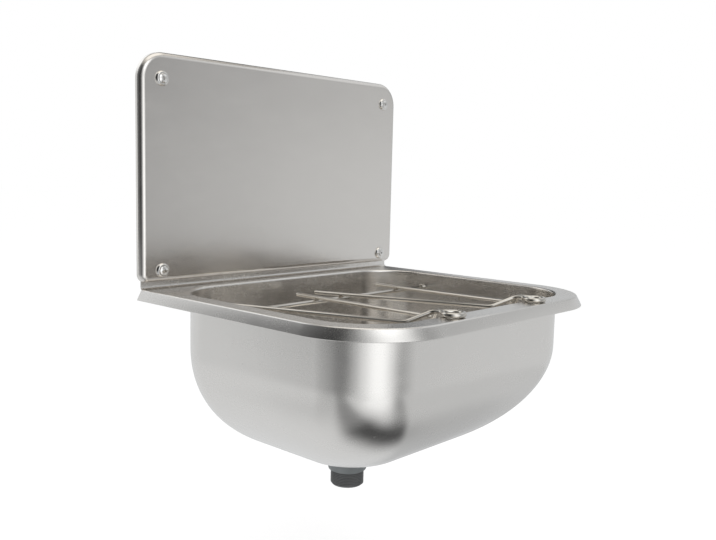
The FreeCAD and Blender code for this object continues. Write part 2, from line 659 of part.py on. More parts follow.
def grate_wire_path():
    """One bent wire about its middle: a leg, a neck, the finger eye, the neck and the other leg."""
    at_bar = 2 * S.wire_radius.value - S.weld_sink.value
    slope = S.leg_climb.value / LEG_REACH.value
    neck_level = S.bar_below.value + S.rest_gap.value + S.wire_radius.value
    eye = Vector(0, -EYE_REACH.value, neck_level)
    flare_x = S.neck_half.value + S.eye_flare.value
    centre_gap = S.eye_radius.value + S.eye_flare.value
    flare_y = math.sqrt(centre_gap ** 2 - flare_x ** 2)
    share = S.eye_radius.value / centre_gap
    touch = Vector(flare_x * share, flare_y * share, 0)
    flare_centre = eye + Vector(flare_x, flare_y, 0)
    flare_middle = Vector(-flare_x, -flare_y, 0).normalize() + Vector(-1, 0, 0)
    flare_middle = flare_centre + flare_middle.normalize() * S.eye_flare.value
    half = {}
    for _, side in SIDES:
        def mirrored(point):
            return Vector(point.x * side, point.y, point.z)
        tail = Vector(S.leg_rear.value, S.leg_tail.value, at_bar - slope * S.leg_tail.value)
        bend = Vector(S.leg_front.value, -LEG_REACH.value, at_bar + S.leg_climb.value)
        neck = Vector(S.neck_half.value, -NECK_REACH.value, neck_level)
        flare = eye + Vector(S.neck_half.value, flare_y, 0)
        leg = bend_edges([mirrored(point) for point in (tail, bend, neck, flare)], S.wire_bend.value)
        into_eye = Part.Arc(mirrored(flare), mirrored(flare_middle), mirrored(eye + touch)).toShape()
        round_eye = Part.Arc(mirrored(eye + touch), mirrored(eye + Vector(S.eye_radius.value, 0, 0)),
                             eye - Vector(0, S.eye_radius.value, 0)).toShape()
        half[side] = leg + [into_eye, round_eye]
    return Part.Wire(half[1] + half[-1][::-1])


def build_grate_wires():
    """The two bent wires that lie on the cross bar and rest on the front rim."""
    pieces = []
    path = grate_wire_path()
    first = path.OrderedEdges[0]
    start = first.valueAt(first.FirstParameter)
    ring = Part.Circle(start, first.tangentAt(first.FirstParameter), S.wire_radius.value)
    wire = path.makePipeShell([Part.Wire(ring.toShape())], True, False)
    expected = math.pi * S.wire_radius.value ** 2 * path.Length
    if abs(wire.Volume - expected) > 0.01 * expected:
        raise RuntimeError("the bent wire's volume is not its section times its length")
    for side_name, side in SIDES:
        piece = doc.addObject("Part::Feature", f"grate_wire_{side_name}")
        piece.Label = f"grate_wire_{side_name}"
        piece.Shape = wire
        place(piece, S.unit_offset * side, -BAR_OFFSET, -BAR_LEVEL)
        pieces.append(piece)
    return pieces


def strainer_holes(body, name, ring, count):
    """A ring of holes through the strainer's floor."""
    sketch = new_sketch(body, f"{name}_outline", "XY_Plane", -S.strainer_depth)
    draw_circle(sketch, ring, ZERO, S.strainer_hole)
    hole = pocket(body, name, sketch, S.strainer_sheet * 4, both_ways=True)
    pattern = body.newObject("PartDesign::PolarPattern", f"{name}_ring")
    pattern.Originals = [hole]
    pattern.Axis = (sketch, ["N_Axis"])
    pattern.Angle = 360
    pattern.Occurrences = count
    body.Tip = pattern
    doc.recompute()


def build_waste():
    """Strainer, its screw, the two seals and the plastic body with the threaded tail."""
    flange_level = FLOOR_LEVEL - S.upper_seal
    cup_outer = S.waste_hole - S.cup_clearance
    sheet_depth = S.strainer_sheet
    strainer = revolved_body("strainer", [
        (S.clamp_radius + S.seat_clearance * 4, -S.strainer_depth),
        (cup_outer - sheet_depth, -S.strainer_depth), (cup_outer - sheet_depth, ZERO),
        (S.seal_radius, ZERO), (S.seal_radius, sheet_depth / 2), (S.seal_radius - sheet_depth, sheet_depth),
        (cup_outer - sheet_depth * 2, sheet_depth), (cup_outer - sheet_depth * 2, sheet_depth - S.strainer_depth),
        (S.clamp_radius + S.seat_clearance * 4, sheet_depth - S.strainer_depth)])
    doc.recompute()
    strainer_holes(strainer, "inner_holes", S.strainer_inner, INNER_HOLES)
    strainer_holes(strainer, "outer_holes", S.strainer_outer, OUTER_HOLES)
    place(strainer, ZERO, -S.drain_offset, -flange_level)

    body_level = UNDERSIDE_LEVEL + S.lower_seal
    spider_top = flange_level + S.strainer_depth + S.spider_height - body_level
    screw_foot = -(S.spider_height * 2)
    screw = revolved_body("strainer_screw", [
        (ZERO, screw_foot), (S.clamp_radius, screw_foot), (S.clamp_radius, sheet_depth),
        (S.clamp_head, sheet_depth), (S.clamp_head, sheet_depth + S.clamp_head_height / 2),
        (S.clamp_head * 0.6, sheet_depth + S.clamp_head_height), (ZERO, sheet_depth + S.clamp_head_height)])
    place(screw, ZERO, -S.drain_offset, -(flange_level + S.strainer_depth))

    ring_inner = S.waste_hole + S.cup_clearance
    upper = revolved_body("upper_seal", [(ring_inner, ZERO), (S.seal_radius, ZERO),
                                         (S.seal_radius, S.upper_seal), (ring_inner, S.upper_seal)])
    place(upper, ZERO, -S.drain_offset, -FLOOR_LEVEL)
    lower = revolved_body("lower_seal", [(ring_inner, ZERO), (S.seal_radius, ZERO),
                                         (S.seal_radius, -S.lower_seal), (ring_inner, -S.lower_seal)])
    place(lower, ZERO, -S.drain_offset, -UNDERSIDE_LEVEL)

    collar_foot = -(S.collar_flange + S.collar_length)
    tail_foot = collar_foot - S.tail_length
    cup_floor = -(spider_top + S.spider_height)
    waste = revolved_body("waste_body", [
        (S.waste_hole, ZERO), (S.seal_radius, ZERO), (S.seal_radius, -S.collar_flange),
        (S.collar_top, -S.collar_flange), (S.collar_bottom, collar_foot), (S.tail_radius, collar_foot),
        (S.tail_radius, tail_foot), (S.tail_bore, tail_foot), (S.tail_bore, cup_floor),
        (S.waste_hole, -spider_top)])
    arm = new_sketch(waste, "arm_outline", "XY_Plane", -spider_top)
    reach = S.tail_bore + (S.waste_hole - S.tail_bore) / 2
    width = S.spider_width / 2
    draw_outline(arm, [(-reach, -width), (reach, -width), (reach, width), (-reach, width)])
    pad(waste, "arm", arm, S.spider_height, reverse=True)
    boss = new_sketch(waste, "boss_outline", "XY_Plane", -spider_top)
    draw_circle(boss, ZERO, ZERO, S.boss_radius)
    pad(waste, "boss", boss, S.spider_height, reverse=True)
    thread = new_sketch(waste, "screw_hole_outline", "XY_Plane", -spider_top)
    draw_circle(thread, ZERO, ZERO, S.clamp_radius + S.seat_clearance)
    pocket(waste, "screw_hole", thread, S.spider_height * 4, both_ways=True)
    place(waste, ZERO, -S.drain_offset, -body_level)
    return [strainer, screw, upper, lower, waste]


def check(pieces):
    """Stops if any object failed, or if any piece is empty, broken or not one solid."""
    for item in doc.Objects:
        if "Invalid" in item.State or "Error" in item.State:
            raise RuntimeError(f"{item.Label} failed: {item.State}")
    for piece in pieces:
        shape = piece.Shape
        if shape.isNull() or not shape.isValid() or len(shape.Solids) != 1:
            raise RuntimeError(f"{piece.Label} is not one valid solid")


def main():
    pieces = [build_basin(), build_splashback()]
    pieces += build_fixings()
    pieces += build_pivots()
    pieces += build_grate_wires()
    pieces += build_waste()
    doc.recompute()
    check(pieces)
    os.makedirs("parts", exist_ok=True)
    for piece in pieces:
        piece.Shape.exportStep(os.path.join("parts", f"{piece.Label}.step"))
        print(piece.Label, round(piece.Shape.Volume, 1))


main()
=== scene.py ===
import math

import bmesh
import bpy
from bpy.props import FloatProperty, FloatVectorProperty, IntProperty, PointerProperty
from mathutils import Matrix, Vector


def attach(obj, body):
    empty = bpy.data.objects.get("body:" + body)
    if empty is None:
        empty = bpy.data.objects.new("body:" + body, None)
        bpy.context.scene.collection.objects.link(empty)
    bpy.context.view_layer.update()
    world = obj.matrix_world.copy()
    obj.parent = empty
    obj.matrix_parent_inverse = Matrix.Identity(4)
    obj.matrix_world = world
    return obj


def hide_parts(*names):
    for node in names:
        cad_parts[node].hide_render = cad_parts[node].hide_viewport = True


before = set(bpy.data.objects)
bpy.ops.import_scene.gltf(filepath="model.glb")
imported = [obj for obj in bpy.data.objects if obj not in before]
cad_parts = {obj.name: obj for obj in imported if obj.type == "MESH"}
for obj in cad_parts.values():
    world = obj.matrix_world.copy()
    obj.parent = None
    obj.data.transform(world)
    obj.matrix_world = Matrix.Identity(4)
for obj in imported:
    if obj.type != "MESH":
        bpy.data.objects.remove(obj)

bl_info = {
    "name": "Slop Sink",
    "version": (1, 0, 0),
    "blender": (4, 5, 0),
    "location": "View3D > Sidebar > Slop Sink",
    "description": "Models and finishes a wall-hung stainless steel slop sink",
    "category": "Object",
}

SIDES = (("left", -1), ("right", 1))
LEVELS = (("lower", -1), ("upper", 1))
QUARTER = math.radians(90.0)
FACING_FRONT = Matrix.Rotation(QUARTER, 4, "X")
ALONG_X = Matrix.Rotation(QUARTER, 4, "Y")
# Distance of the extra loops that keep flats flat beside a rounded edge.
HOLD = 0.0004
# Places nearer than this count as one.
NEAR = 1e-6
# Room between two pieces that fit in each other.
PLAY = 0.00005
# How far a thread's ridge reaches into its core.
ROOTED = 0.0002
# Edges that bend more than this show as edges.
SHARP = math.radians(35.0)
# Corner radius of the bowl's lowest loop as a share of its seat's radius. Under one, so that the loop keeps
# short straight sides.
SEAT_CORNER = 0.97
# Steps round a corner of the basin, seen from above.
CORNER_STEPS = 22


def length(name, description, default):
    """A size in metres."""
    return FloatProperty(name=name, description=description, default=default, unit="LENGTH", precision=4)


def angle(name, description, degrees):
    """An angle, given in degrees."""
    return FloatProperty(name=name, description=description, default=math.radians(degrees), subtype="ANGLE")


def ratio(name, description, default):
    """A number without a unit."""
    return FloatProperty(name=name, description=description, default=default, min=0.0, precision=3)


def polish(name, description, default):
    """A roughness, from mirror bright at nothing to matt at one."""
    return FloatProperty(name=name, description=description, default=default, subtype="FACTOR",
                         min=0.0, max=1.0, precision=3)


def number(name, description, default):
    """How many there are of something."""
    return IntProperty(name=name, description=description, default=default, min=1)


def colour(name, description, default):
    """A colour of a finish or a light."""
    return FloatVectorProperty(name=name, description=description, default=default, subtype="COLOR",
                               size=3, min=0.0, max=1.0)


class BasinSizes(bpy.types.PropertyGroup):
    """Sizes of the drawn basin."""

    gauge: length("Gauge", "Thickness of the pressed sheet", 0.0012)
    rim_level: length("Rim level", "Height of the rim's flat", -0.150)
    rim_half: length("Rim half width", "Middle to the side lip", 0.250)
    rim_depth: length("Rim depth", "Wall to the front lip", 0.420)
    rim_corner: length("Rim corner", "Plan radius of the front lip corners", 0.112)
    fold_radius: length("Fold radius", "Outer radius of the fold into the turned-down edge", 0.003)
    skirt_reach: length("Skirt reach", "Rim flat to the lip, outwards", 0.009)
    skirt_height: length("Skirt height", "Rim flat to the lip", 0.0135)
    side_land: length("Side land", "Flat of the rim at the sides", 0.019)
    front_land: length("Front land", "Flat of the rim at the front", 0.025)
    rear_land: length("Rear land", "Flat of the rim at the back", 0.015)
    bend_radius: length("Bend radius", "Inner radius of the upstand's bend", 0.004)
    upstand_top: length("Upstand top", "Rim flat to the upstand's edge", 0.042)
    upstand_overlap: length("Upstand overlap", "Upstand past the side folds", 0.0035)
    upstand_hole: length("Upstand hole", "Radius of the upstand's fixing holes", 0.004)
    draw_radius: length("Draw radius", "Outer radius from the wall to the rim", 0.002)
    bowl_corner: length("Bowl corner", "Plan radius of the bowl's corners", 0.080)
    wall_depth: length("Wall depth", "Straight wall of the bowl", 0.074)
    dish_depth: length("Dish depth", "Rounded bottom of the bowl", 0.1525)
    power_side: ratio("Side fullness", "Fullness of the bottom at the sides", 1.95)
    power_front: ratio("Front fullness", "Fullness of the bottom at the front", 1.86)
    power_back: ratio("Back fullness", "Fullness of the bottom at the back", 3.2)
    drain_offset: length("Drain offset", "Wall to the waste's axis", 0.152)
    seat_radius: length("Seat radius", "Flat seat round the waste hole", 0.046)
    waste_hole: length("Waste hole", "Radius of the waste hole", 0.030)


class SplashbackSizes(bpy.types.PropertyGroup):
    """Sizes of the pressed splashback and its fixings."""

    half: length("Half width", "Middle to the side edge", 0.250)
    low: length("Lower edge", "Height of the lower edge", -0.141)
    high: length("Upper edge", "Height of the upper edge", 0.159)
    depth: length("Depth", "Face to the wall", 0.012)
    edge_radius: length("Edge radius", "Rounded edge", 0.008)
    top_corner: length("Upper corner", "Radius of the upper corners", 0.036)
    low_corner: length("Lower corner", "Radius of the lower corners", 0.012)
    fixing_half: length("Fixing half width", "Middle to the fixing screws, across", 0.218)
    fixing_rise: length("Fixing half height", "Middle to the fixing screws, upright", 0.125)
    fixing_hole: length("Fixing hole", "Radius of the fixing holes", 0.0032)
    cup_radius: length("Cup radius", "Cup washer", 0.010)
    cup_height: length("Cup height", "Cup washer height", 0.0036)
    head_radius: length("Head radius", "Fixing screw head", 0.0062)
    head_crown: length("Head crown", "Raised part of the head", 0.0016)
    neck_radius: length("Neck radius", "Fixing screw from its head to the wall face", 0.0018)
    thread_radius: length("Thread radius", "Crest of the fixing screw's thread", 0.0025)
    screw_reach: length("Screw reach", "Fixing screw behind the wall face", 0.038)
    screw_pitch: length("Screw pitch", "Rise of the fixing screw's thread per turn", 0.0024)


class GrateSizes(bpy.types.PropertyGroup):
    """Sizes of the hinged wire grate."""

    wire_radius: length("Wire radius", "Grate wire and cross bar", 0.003)
    bar_offset: length("Bar offset", "Wall to the cross bar", 0.1085)
    bar_level: length("Bar level", "Height of the cross bar", -0.174)
    bar_reach: length("Bar reach", "Middle to the cross bar's end", 0.2184)
    bush_radius: length("Bush radius", "Pivot bush", 0.006)
    bush_bore: length("Bush bore", "Bore of the pivot bush", 0.00305)
    bush_foot: length("Bush foot", "Middle to the wall the bush is welded on", 0.2188)
    bush_length: length("Bush length", "Pivot bush along the cross bar", 0.006)
    unit_offset: length("Unit offset", "Middle to a grate unit", 0.088)
    leg_rear: length("Leg rear", "Leg from the unit's middle at its cut end", 0.070)
    leg_front: length("Leg front", "Leg from the unit's middle at its front bend", 0.028)
    leg_tail: length("Leg tail", "Leg behind the cross bar", 0.048)
    leg_reach: length("Leg reach", "Cross bar to the front bend", 0.237)
    neck_reach: length("Neck reach", "Cross bar to the start of the neck", 0.259)
    eye_reach: length("Eye reach", "Cross bar to the middle of the finger eye", 0.285)
    leg_rise: length("Leg rise", "Wire above the cross bar's axis where they cross", 0.0057)
    leg_climb: length("Leg climb", "Rise of a leg from the cross bar to the front bend", 0.008)
    neck_rise: length("Neck rise", "Neck above the cross bar's axis", 0.0273)
    neck_half: length("Neck half", "Wire from the unit's middle at the neck", 0.0034)
    eye_radius: length("Eye radius", "Finger eye, to the wire's middle", 0.012)
    eye_flare: length("Eye flare", "Bend from the neck into the eye", 0.008)
    wire_bend: length("Wire bend", "Bends of the legs", 0.012)


class WasteSizes(bpy.types.PropertyGroup):
    """Sizes of the strainer waste."""

    flange_level: length("Flange level", "Underside of the strainer's flange", -0.3733)
    flange_radius: length("Flange radius", "Strainer flange and collar flange", 0.042)
    sheet: length("Strainer sheet", "Thickness of the strainer", 0.0015)
    cup_depth: length("Cup depth", "Strainer cup below its flange", 0.010)
    cup_radius: length("Cup radius", "Inside of the strainer cup", 0.026)
    hole_radius: length("Hole radius", "Strainer holes", 0.0026)
    inner_ring: length("Inner ring", "Inner ring of strainer holes", 0.011)
    outer_ring: length("Outer ring", "Outer ring of strainer holes", 0.020)
    inner_holes: number("Inner holes", "Holes of the inner ring", 6)
    outer_holes: number("Outer holes", "Holes of the outer ring", 12)
    clamp_radius: length("Clamp radius", "Strainer screw shank", 0.003)
    clamp_head: length("Clamp head", "Strainer screw head", 0.0065)
    clamp_length: length("Clamp length", "Strainer screw below the strainer", 0.016)
    body_level: length("Body level", "Top of the plastic body", -0.3795)
    collar_flange: length("Collar flange", "Thickness of the body's flange", 0.004)
    collar_top: length("Collar top", "Radius of the collar at its top", 0.036)
    collar_bottom: length("Collar foot", "Radius of the collar at its foot", 0.027)
    collar_length: length("Collar length", "Collar under its flange", 0.031)
    mouth: length("Mouth", "Radius of the body's mouth", 0.030)
    tail_radius: length("Tail radius", "Crest of the tail's thread", 0.0239)
    tail_root: length("Tail root", "Root of the tail's thread", 0.0226)
    tail_bore: length("Tail bore", "Waterway of the tail", 0.0195)
    tail_length: length("Tail length", "Threaded tail", 0.022)
    thread_pitch: length("Thread pitch", "Rise of the tail's thread per turn", 0.002309)
    arm_depth: length("Arm depth", "Body's top to the arm across the waterway", 0.0118)
    arm_height: length("Arm height", "Height of the arm", 0.008)
    arm_width: length("Arm width", "Width of the arm", 0.006)
    boss_radius: length("Boss radius", "Boss in the middle of the arm", 0.007)


class Finishes(bpy.types.PropertyGroup):
    """Colours and polish of the metal, plastic and rubber."""

    basin_steel: colour("Basin steel", "Satin steel of the basin", (0.78, 0.755, 0.722))
    basin_roughness: polish("Basin roughness", "Roughness of the basin", 0.24)
    panel_steel: colour("Panel steel", "Brushed steel of the splashback", (0.77, 0.738, 0.70))
    panel_roughness: polish("Panel roughness", "Roughness of the splashback", 0.20)
    wire_steel: colour("Wire steel", "Drawn wire of the grate", (0.64, 0.61, 0.56))
    wire_roughness: polish("Wire roughness", "Roughness of the wire", 0.07)
    # Heat tint at the welds, made darker to paint the shade in the gap under each crossing of a leg and the
    # bar.
    weld_tint_and_shade: colour("Weld tint", "Heat tint at the welds", (0.30, 0.24, 0.18))
    fixing_steel: colour("Fixing steel", "Polished screws and washers", (0.80, 0.78, 0.75))
    fixing_roughness: polish("Fixing roughness", "Roughness of the fixings", 0.06)
    strainer_steel: colour("Strainer steel", "Polished strainer", (0.70, 0.70, 0.69))
    strainer_roughness: polish("Strainer roughness", "Roughness of the strainer", 0.18)
    collar_plastic: colour("Collar plastic", "Moulded collar", (0.19, 0.205, 0.21))
    tail_plastic: colour("Tail plastic", "Threaded tail", (0.165, 0.168, 0.17))
    seal_rubber: colour("Seal rubber", "Rubber seals", (0.06, 0.06, 0.06))


class StageSettings(bpy.types.PropertyGroup):
    """Camera, floor and studio light."""

    camera_place: FloatVectorProperty(name="Camera place", description="Where the camera stands", size=3,
                                      default=(-0.83961, -0.93555, 0.00843), subtype="TRANSLATION")
    camera_yaw: angle("Camera yaw", "Turn about the upright, from the wall's direction", -47.413)
    camera_pitch: angle("Camera pitch", "Tilt below the horizon", 6.676)
    camera_roll: angle("Camera roll", "Turn about the view", 1.367)
    camera_lens: FloatProperty(name="Lens", description="Focal length on a 36 mm sensor", default=41.30,
                               unit="CAMERA")
    floor_level: length("Floor level", "Height of the floor", -0.80)
    floor_colour: colour("Floor colour", "Paint of the floor", (0.80, 0.80, 0.80))
    floor_glow: ratio("Floor glow", "Light of its own that brings the floor to white", 0.44)
    card_radius: length("Card radius", "Radius of the round card", 1.6)
    card_top: length("Card top", "Height of the round card's top", 1.9)
    card_light: colour("Card light", "Tone of the light that the steel reflects", (0.787, 0.806, 0.825))
    ceiling_light: colour("Ceiling light", "Tone of the card above", (0.45, 0.44, 0.42))
    soft_light: ratio("Soft light", "Level of the light from all round", 0.70)
    key_power: FloatProperty(name="Key power", description="Power of the soft box", default=26.0,
                             unit="POWER")


def distinct(items):
    """The items in their order, each once."""
    return list(dict.fromkeys(items))


def only(items, kind):
    """The items of one kind: verts, edges or faces."""
    return [item for item in items if isinstance(item, kind)]


def verts_of(edges):
    """The ends of some edges."""
    return distinct(vert for edge in edges for vert in edge.verts)


def edges_of(verts):
    """The edges that meet at some verts."""
    return distinct(edge for vert in verts for edge in vert.link_edges)


def added(items, known):
    """The verts or edges of a mesh that weren't known before."""
    return [item for item in items if item not in known]


def rounded_chain(bm, points, radii, segments=6, closed=True):
    """Edges through a few points, with every corner rounded to its own radius."""
    known = set(bm.edges)
    verts = [bm.verts.new(point) for point in points]
    pairs = list(zip(verts, verts[1:]))
    if closed:
        pairs.append((verts[-1], verts[0]))
    for first, second in pairs:
        bm.edges.new((first, second))
    for radius in sorted(set(radii)):
        if radius > 0.0:
            corners = [vert for vert, wanted in zip(verts, radii) if wanted == radius]
            bmesh.ops.bevel(bm, geom=corners, offset=radius, offset_type="OFFSET", segments=segments,
                            profile=0.5, affect="VERTICES", material=-1)
    return added(bm.edges, known)


def plan_loop(bm, half, front, back, corner, level):
    """A level loop about the middle, with one radius at its corners."""
    points = [(half, -front, level), (half, -back, level), (-half, -back, level), (-half, -front, level)]
    return rounded_chain(bm, points, [corner] * 4, CORNER_STEPS)


def bridge(bm, loops):
    """Faces between each loop and the next."""
    for first, second in zip(loops, loops[1:]):
        bmesh.ops.bridge_loops(bm, edges=first + second)


def flat_sheet(bm, edges):
    """Faces between an outline and its holes, with a narrow border that keeps the sheet flat."""
    made = bmesh.ops.triangle_fill(bm, use_beauty=True, edges=edges)["geom"]
    bmesh.ops.inset_region(bm, faces=only(made, bmesh.types.BMFace), thickness=HOLD, use_boundary=True,
                           use_even_offset=True)


def ring(bm, radius, centre, turn=Matrix(), segments=64):
    """A circle of edges, without a face."""
    made = bmesh.ops.create_circle(bm, cap_ends=False, radius=radius, segments=segments,
                                   matrix=Matrix.Translation(centre) @ turn)
    return edges_of(made["verts"])


def draw_edges(bm, edges, move):
    """Pulls a run of edges into faces and returns the run at the far side."""
    pulled = bmesh.ops.extrude_edge_only(bm, edges=edges)["geom"]
    bmesh.ops.translate(bm, verts=only(pulled, bmesh.types.BMVert), vec=move)
    return only(pulled, bmesh.types.BMEdge)


def round_edges(bm, edges, radius):
    """Rounds some edges of a solid."""
    bmesh.ops.bevel(bm, geom=edges, offset=radius, offset_type="OFFSET", segments=3, profile=0.5,
                    affect="EDGES", material=-1)


def turned(bm, section, place, steps, closed=False):
    """A shape turned about an axis, from rows of radius, height and the rounding of that corner."""
    known = set(bm.verts)
    points = [(radius, 0.0, height) for radius, height, _ in section]
    chain = rounded_chain(bm, points, [rounding for _, _, rounding in section], 4, closed)
    bmesh.ops.spin(bm, geom=verts_of(chain) + chain, cent=(0, 0, 0), axis=(0, 0, 1), dvec=(0, 0, 0),
                   angle=math.tau, steps=steps, use_merge=True)
    bmesh.ops.remove_doubles(bm, verts=added(bm.verts, known), dist=NEAR)
    bmesh.ops.transform(bm, matrix=place, verts=added(bm.verts, known))


def thread(bm, core, crest, pitch, width, start, turns, place, steps):
    """A ridge wound about a core, downwards from a start height."""
    known = set(bm.verts)
    root = core - ROOTED
    flank = pitch * width
    flat = flank * 0.2
    points = [(root, 0.0, start + flank), (crest, 0.0, start + flat),
              (crest, 0.0, start - flat), (root, 0.0, start - flank)]
    chain = rounded_chain(bm, points, [0.0] * 4, closed=False)
    count = int(round(steps * turns))
    bmesh.ops.spin(bm, geom=verts_of(chain) + chain, cent=(0, 0, 0), axis=(0, 0, 1),
                   dvec=(0, 0, -pitch / steps), angle=math.tau * count / steps, steps=count, use_merge=False)
    bmesh.ops.transform(bm, matrix=place, verts=added(bm.verts, known))


def face_outwards(bm):
    """Turns every face of a closed solid outwards."""
    bmesh.ops.recalc_face_normals(bm, faces=bm.faces[:])


def close_up(bm):
    """Merges doubles and turns every face outwards."""
    bmesh.ops.remove_doubles(bm, verts=bm.verts[:], dist=NEAR)
    face_outwards(bm)


def turned_solid(section, place, steps, closed=False):
    """A mesh that holds one turned shape."""
    bm = bmesh.new()
    turned(bm, section, place, steps, closed)
    close_up(bm)
    return bm


def give_thickness(bm, gauge, sample, direction):
    """Thickens a sheet behind its front, which is the side that faces a direction at a sample place."""
    close_up(bm)
    nearest = min(bm.faces, key=lambda face: (face.calc_center_median() - Vector(sample)).length)
    if nearest.normal.dot(Vector(direction)) < 0.0:
        bmesh.ops.reverse_faces(bm, faces=bm.faces[:])
    bm.normal_update()
    bmesh.ops.solidify(bm, geom=bm.faces[:] + bm.edges[:] + bm.verts[:], thickness=gauge)
    face_outwards(bm)


def add_object(bm, name, material):
    """Turns a mesh into an object of the scene."""
    mesh = bpy.data.meshes.new(name)
    bm.to_mesh(mesh)
    bm.free()
    mesh.materials.append(material)
    item = bpy.data.objects.new(name, mesh)
    bpy.context.scene.collection.objects.link(item)
    return item


def show(context, bm, name, body, slot, nodes, look=None):
    """Turns a mesh into a piece on a body that stands for CAD nodes, in its slot's finish or another."""
    for face in bm.faces:
        face.smooth = True
    for edge in bm.edges:
        if edge.is_manifold:
            edge.smooth = edge.calc_face_angle() < SHARP
    piece = add_object(bm, name, finish(context, look or slot))
    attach(piece, body)
    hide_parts(*nodes)


def cut(bm, cutter):
    """Takes a cutter's shape out of a mesh."""
    meshes = []
    objects = []
    for source in (bm, cutter):
        mesh = bpy.data.meshes.new("cut")
        source.to_mesh(mesh)
        meshes.append(mesh)
        item = bpy.data.objects.new("cut", mesh)
        bpy.context.scene.collection.objects.link(item)
        objects.append(item)
    cutter.free()
    modifier = objects[0].modifiers.new("cut", "BOOLEAN")
    modifier.operation = "DIFFERENCE"
    modifier.solver = "EXACT"
    modifier.use_self = True
    modifier.object = objects[1]
    evaluated = objects[0].evaluated_get(bpy.context.evaluated_depsgraph_get())
    result = bpy.data.meshes.new_from_object(evaluated)
    if len(result.polygons) == 0:
        raise RuntimeError("a cut left nothing of its piece")
    bm.clear()
    bm.from_mesh(result)
    meshes.append(result)
    for item in objects:
        bpy.data.objects.remove(item)
    for mesh in meshes:
        bpy.data.meshes.remove(mesh)
    bmesh.ops.remove_doubles(bm, verts=bm.verts[:], dist=NEAR / 10.0)


def recess_cutter(level, size, taper, turns):
    """Bars about one level, narrowed to their feet, that cut a slot or a cross recess."""
    cutter = bmesh.new()
    for turn in turns:
        made = bmesh.ops.create_cube(cutter, size=1.0)["verts"]
        bmesh.ops.scale(cutter, vec=size, verts=made)
        bmesh.ops.scale(cutter, vec=taper, verts=[vert for vert in made if vert.co.z < 0.0])
        bmesh.ops.rotate(cutter, cent=(0, 0, 0), matrix=Matrix.Rotation(turn, 3, "Z"), verts=made)
    bmesh.ops.translate(cutter, vec=(0.0, 0.0, level), verts=cutter.verts[:])
    return cutter


class Layout:
    """Lays out the nodes of a material or of the world."""

    def __init__(self, owner):
        owner.use_nodes = True
        self.nodes = owner.node_tree.nodes
        self.links = owner.node_tree.links

    def feed(self, socket, value):
        """Links a socket to another node's output, or sets it to a plain value."""
        if isinstance(value, bpy.types.NodeSocket):
            self.links.new(value, socket)
        elif socket.type == "RGBA":
            socket.default_value = (*value[:3], 1.0)
        else:
            socket.default_value = value

    def add(self, kind, inputs, **settings):
        """A new node with its settings and then its inputs; returns its outputs."""
        node = self.nodes.new(kind)
        for name, value in settings.items():
            setattr(node, name, value)
        for name, value in inputs.items():
            self.feed(node.inputs[name], value)
        return node.outputs

    def math(self, operation, first, second):
        """One sum of two values."""
        return self.add("ShaderNodeMath", {0: first, 1: second}, operation=operation)["Value"]

    def seen(self):
        """One for what the camera, a reflection or a clear piece shows, and nothing for other light."""
        path = self.add("ShaderNodeLightPath", {})
        shown = self.math("MAXIMUM", path["Is Camera Ray"], path["Is Glossy Ray"])
        return self.math("MAXIMUM", shown, path["Is Transmission Ray"])


class Surface(Layout):
    """Lays out one material on its piece's own coordinates."""

    def __init__(self, name):
        self.material = bpy.data.materials.new(name)
        super().__init__(self.material)
        self.shader = self.nodes["Principled BSDF"]
        self.place = self.add("ShaderNodeTexCoord", {})["Object"]

    def mapped(self, scale, turn):
        """The coordinates, scaled and turned."""
        inputs = {"Vector": self.place, "Scale": scale, "Rotation": turn}
        return self.add("ShaderNodeMapping", inputs)["Vector"]

    def split(self):
        """The coordinates along x, y and z."""
        return self.add("ShaderNodeSeparateXYZ", {"Vector": self.place})

    def noise(self, vector, scale, detail, rough):
        """A pattern without order, in specks, clouds or streaks."""
        inputs = {"Vector": vector, "Scale": scale, "Detail": detail, "Roughness": rough}
        return self.add("ShaderNodeTexNoise", inputs)["Fac"]

    def ranged(self, value, low, high, start=0.3, end=0.7, easing="LINEAR"):
        """A value between start and end, spread from low to high."""
        inputs = {"Value": value, "From Min": start, "From Max": end, "To Min": low, "To Max": high}
        return self.add("ShaderNodeMapRange", inputs, interpolation_type=easing)["Result"]

    def eased(self, value, low, high, start, end):
        """A value spread as by ranged, with a soft start and end."""
        return self.ranged(value, low, high, start, end, "SMOOTHSTEP")

    def mixed(self, factor, first, second):
        """A colour between two others."""
        inputs = {"Factor": factor, "A": first, "B": second}
        return self.add("ShaderNodeMix", inputs, data_type="RGBA")["Result"]

    def bumped(self, height, strength, distance, below=None):
        """Relief from a pattern, on top of other relief where there is some."""
        inputs = {"Height": height, "Strength": strength, "Distance": distance}
        if below is not None:
            inputs["Normal"] = below
        return self.add("ShaderNodeBump", inputs)["Normal"]

    def dress(self, looks):
        """Feeds the shader and returns the material."""
        for name, value in looks.items():
            self.feed(self.shader.inputs[name], value)
        return self.material

    def glow(self, tone, strength):
        """Gives the material light of its own in place of a finish, and returns it."""
        self.nodes.remove(self.shader)
        light = self.add("ShaderNodeEmission", {"Color": tone, "Strength": strength})["Emission"]
        self.links.new(light, self.nodes["Material Output"].inputs["Surface"])
        return self.material


def tinted(base, share):
    """A lighter or darker shade of a colour."""
    return tuple(min(1.0, channel * share) for channel in base)


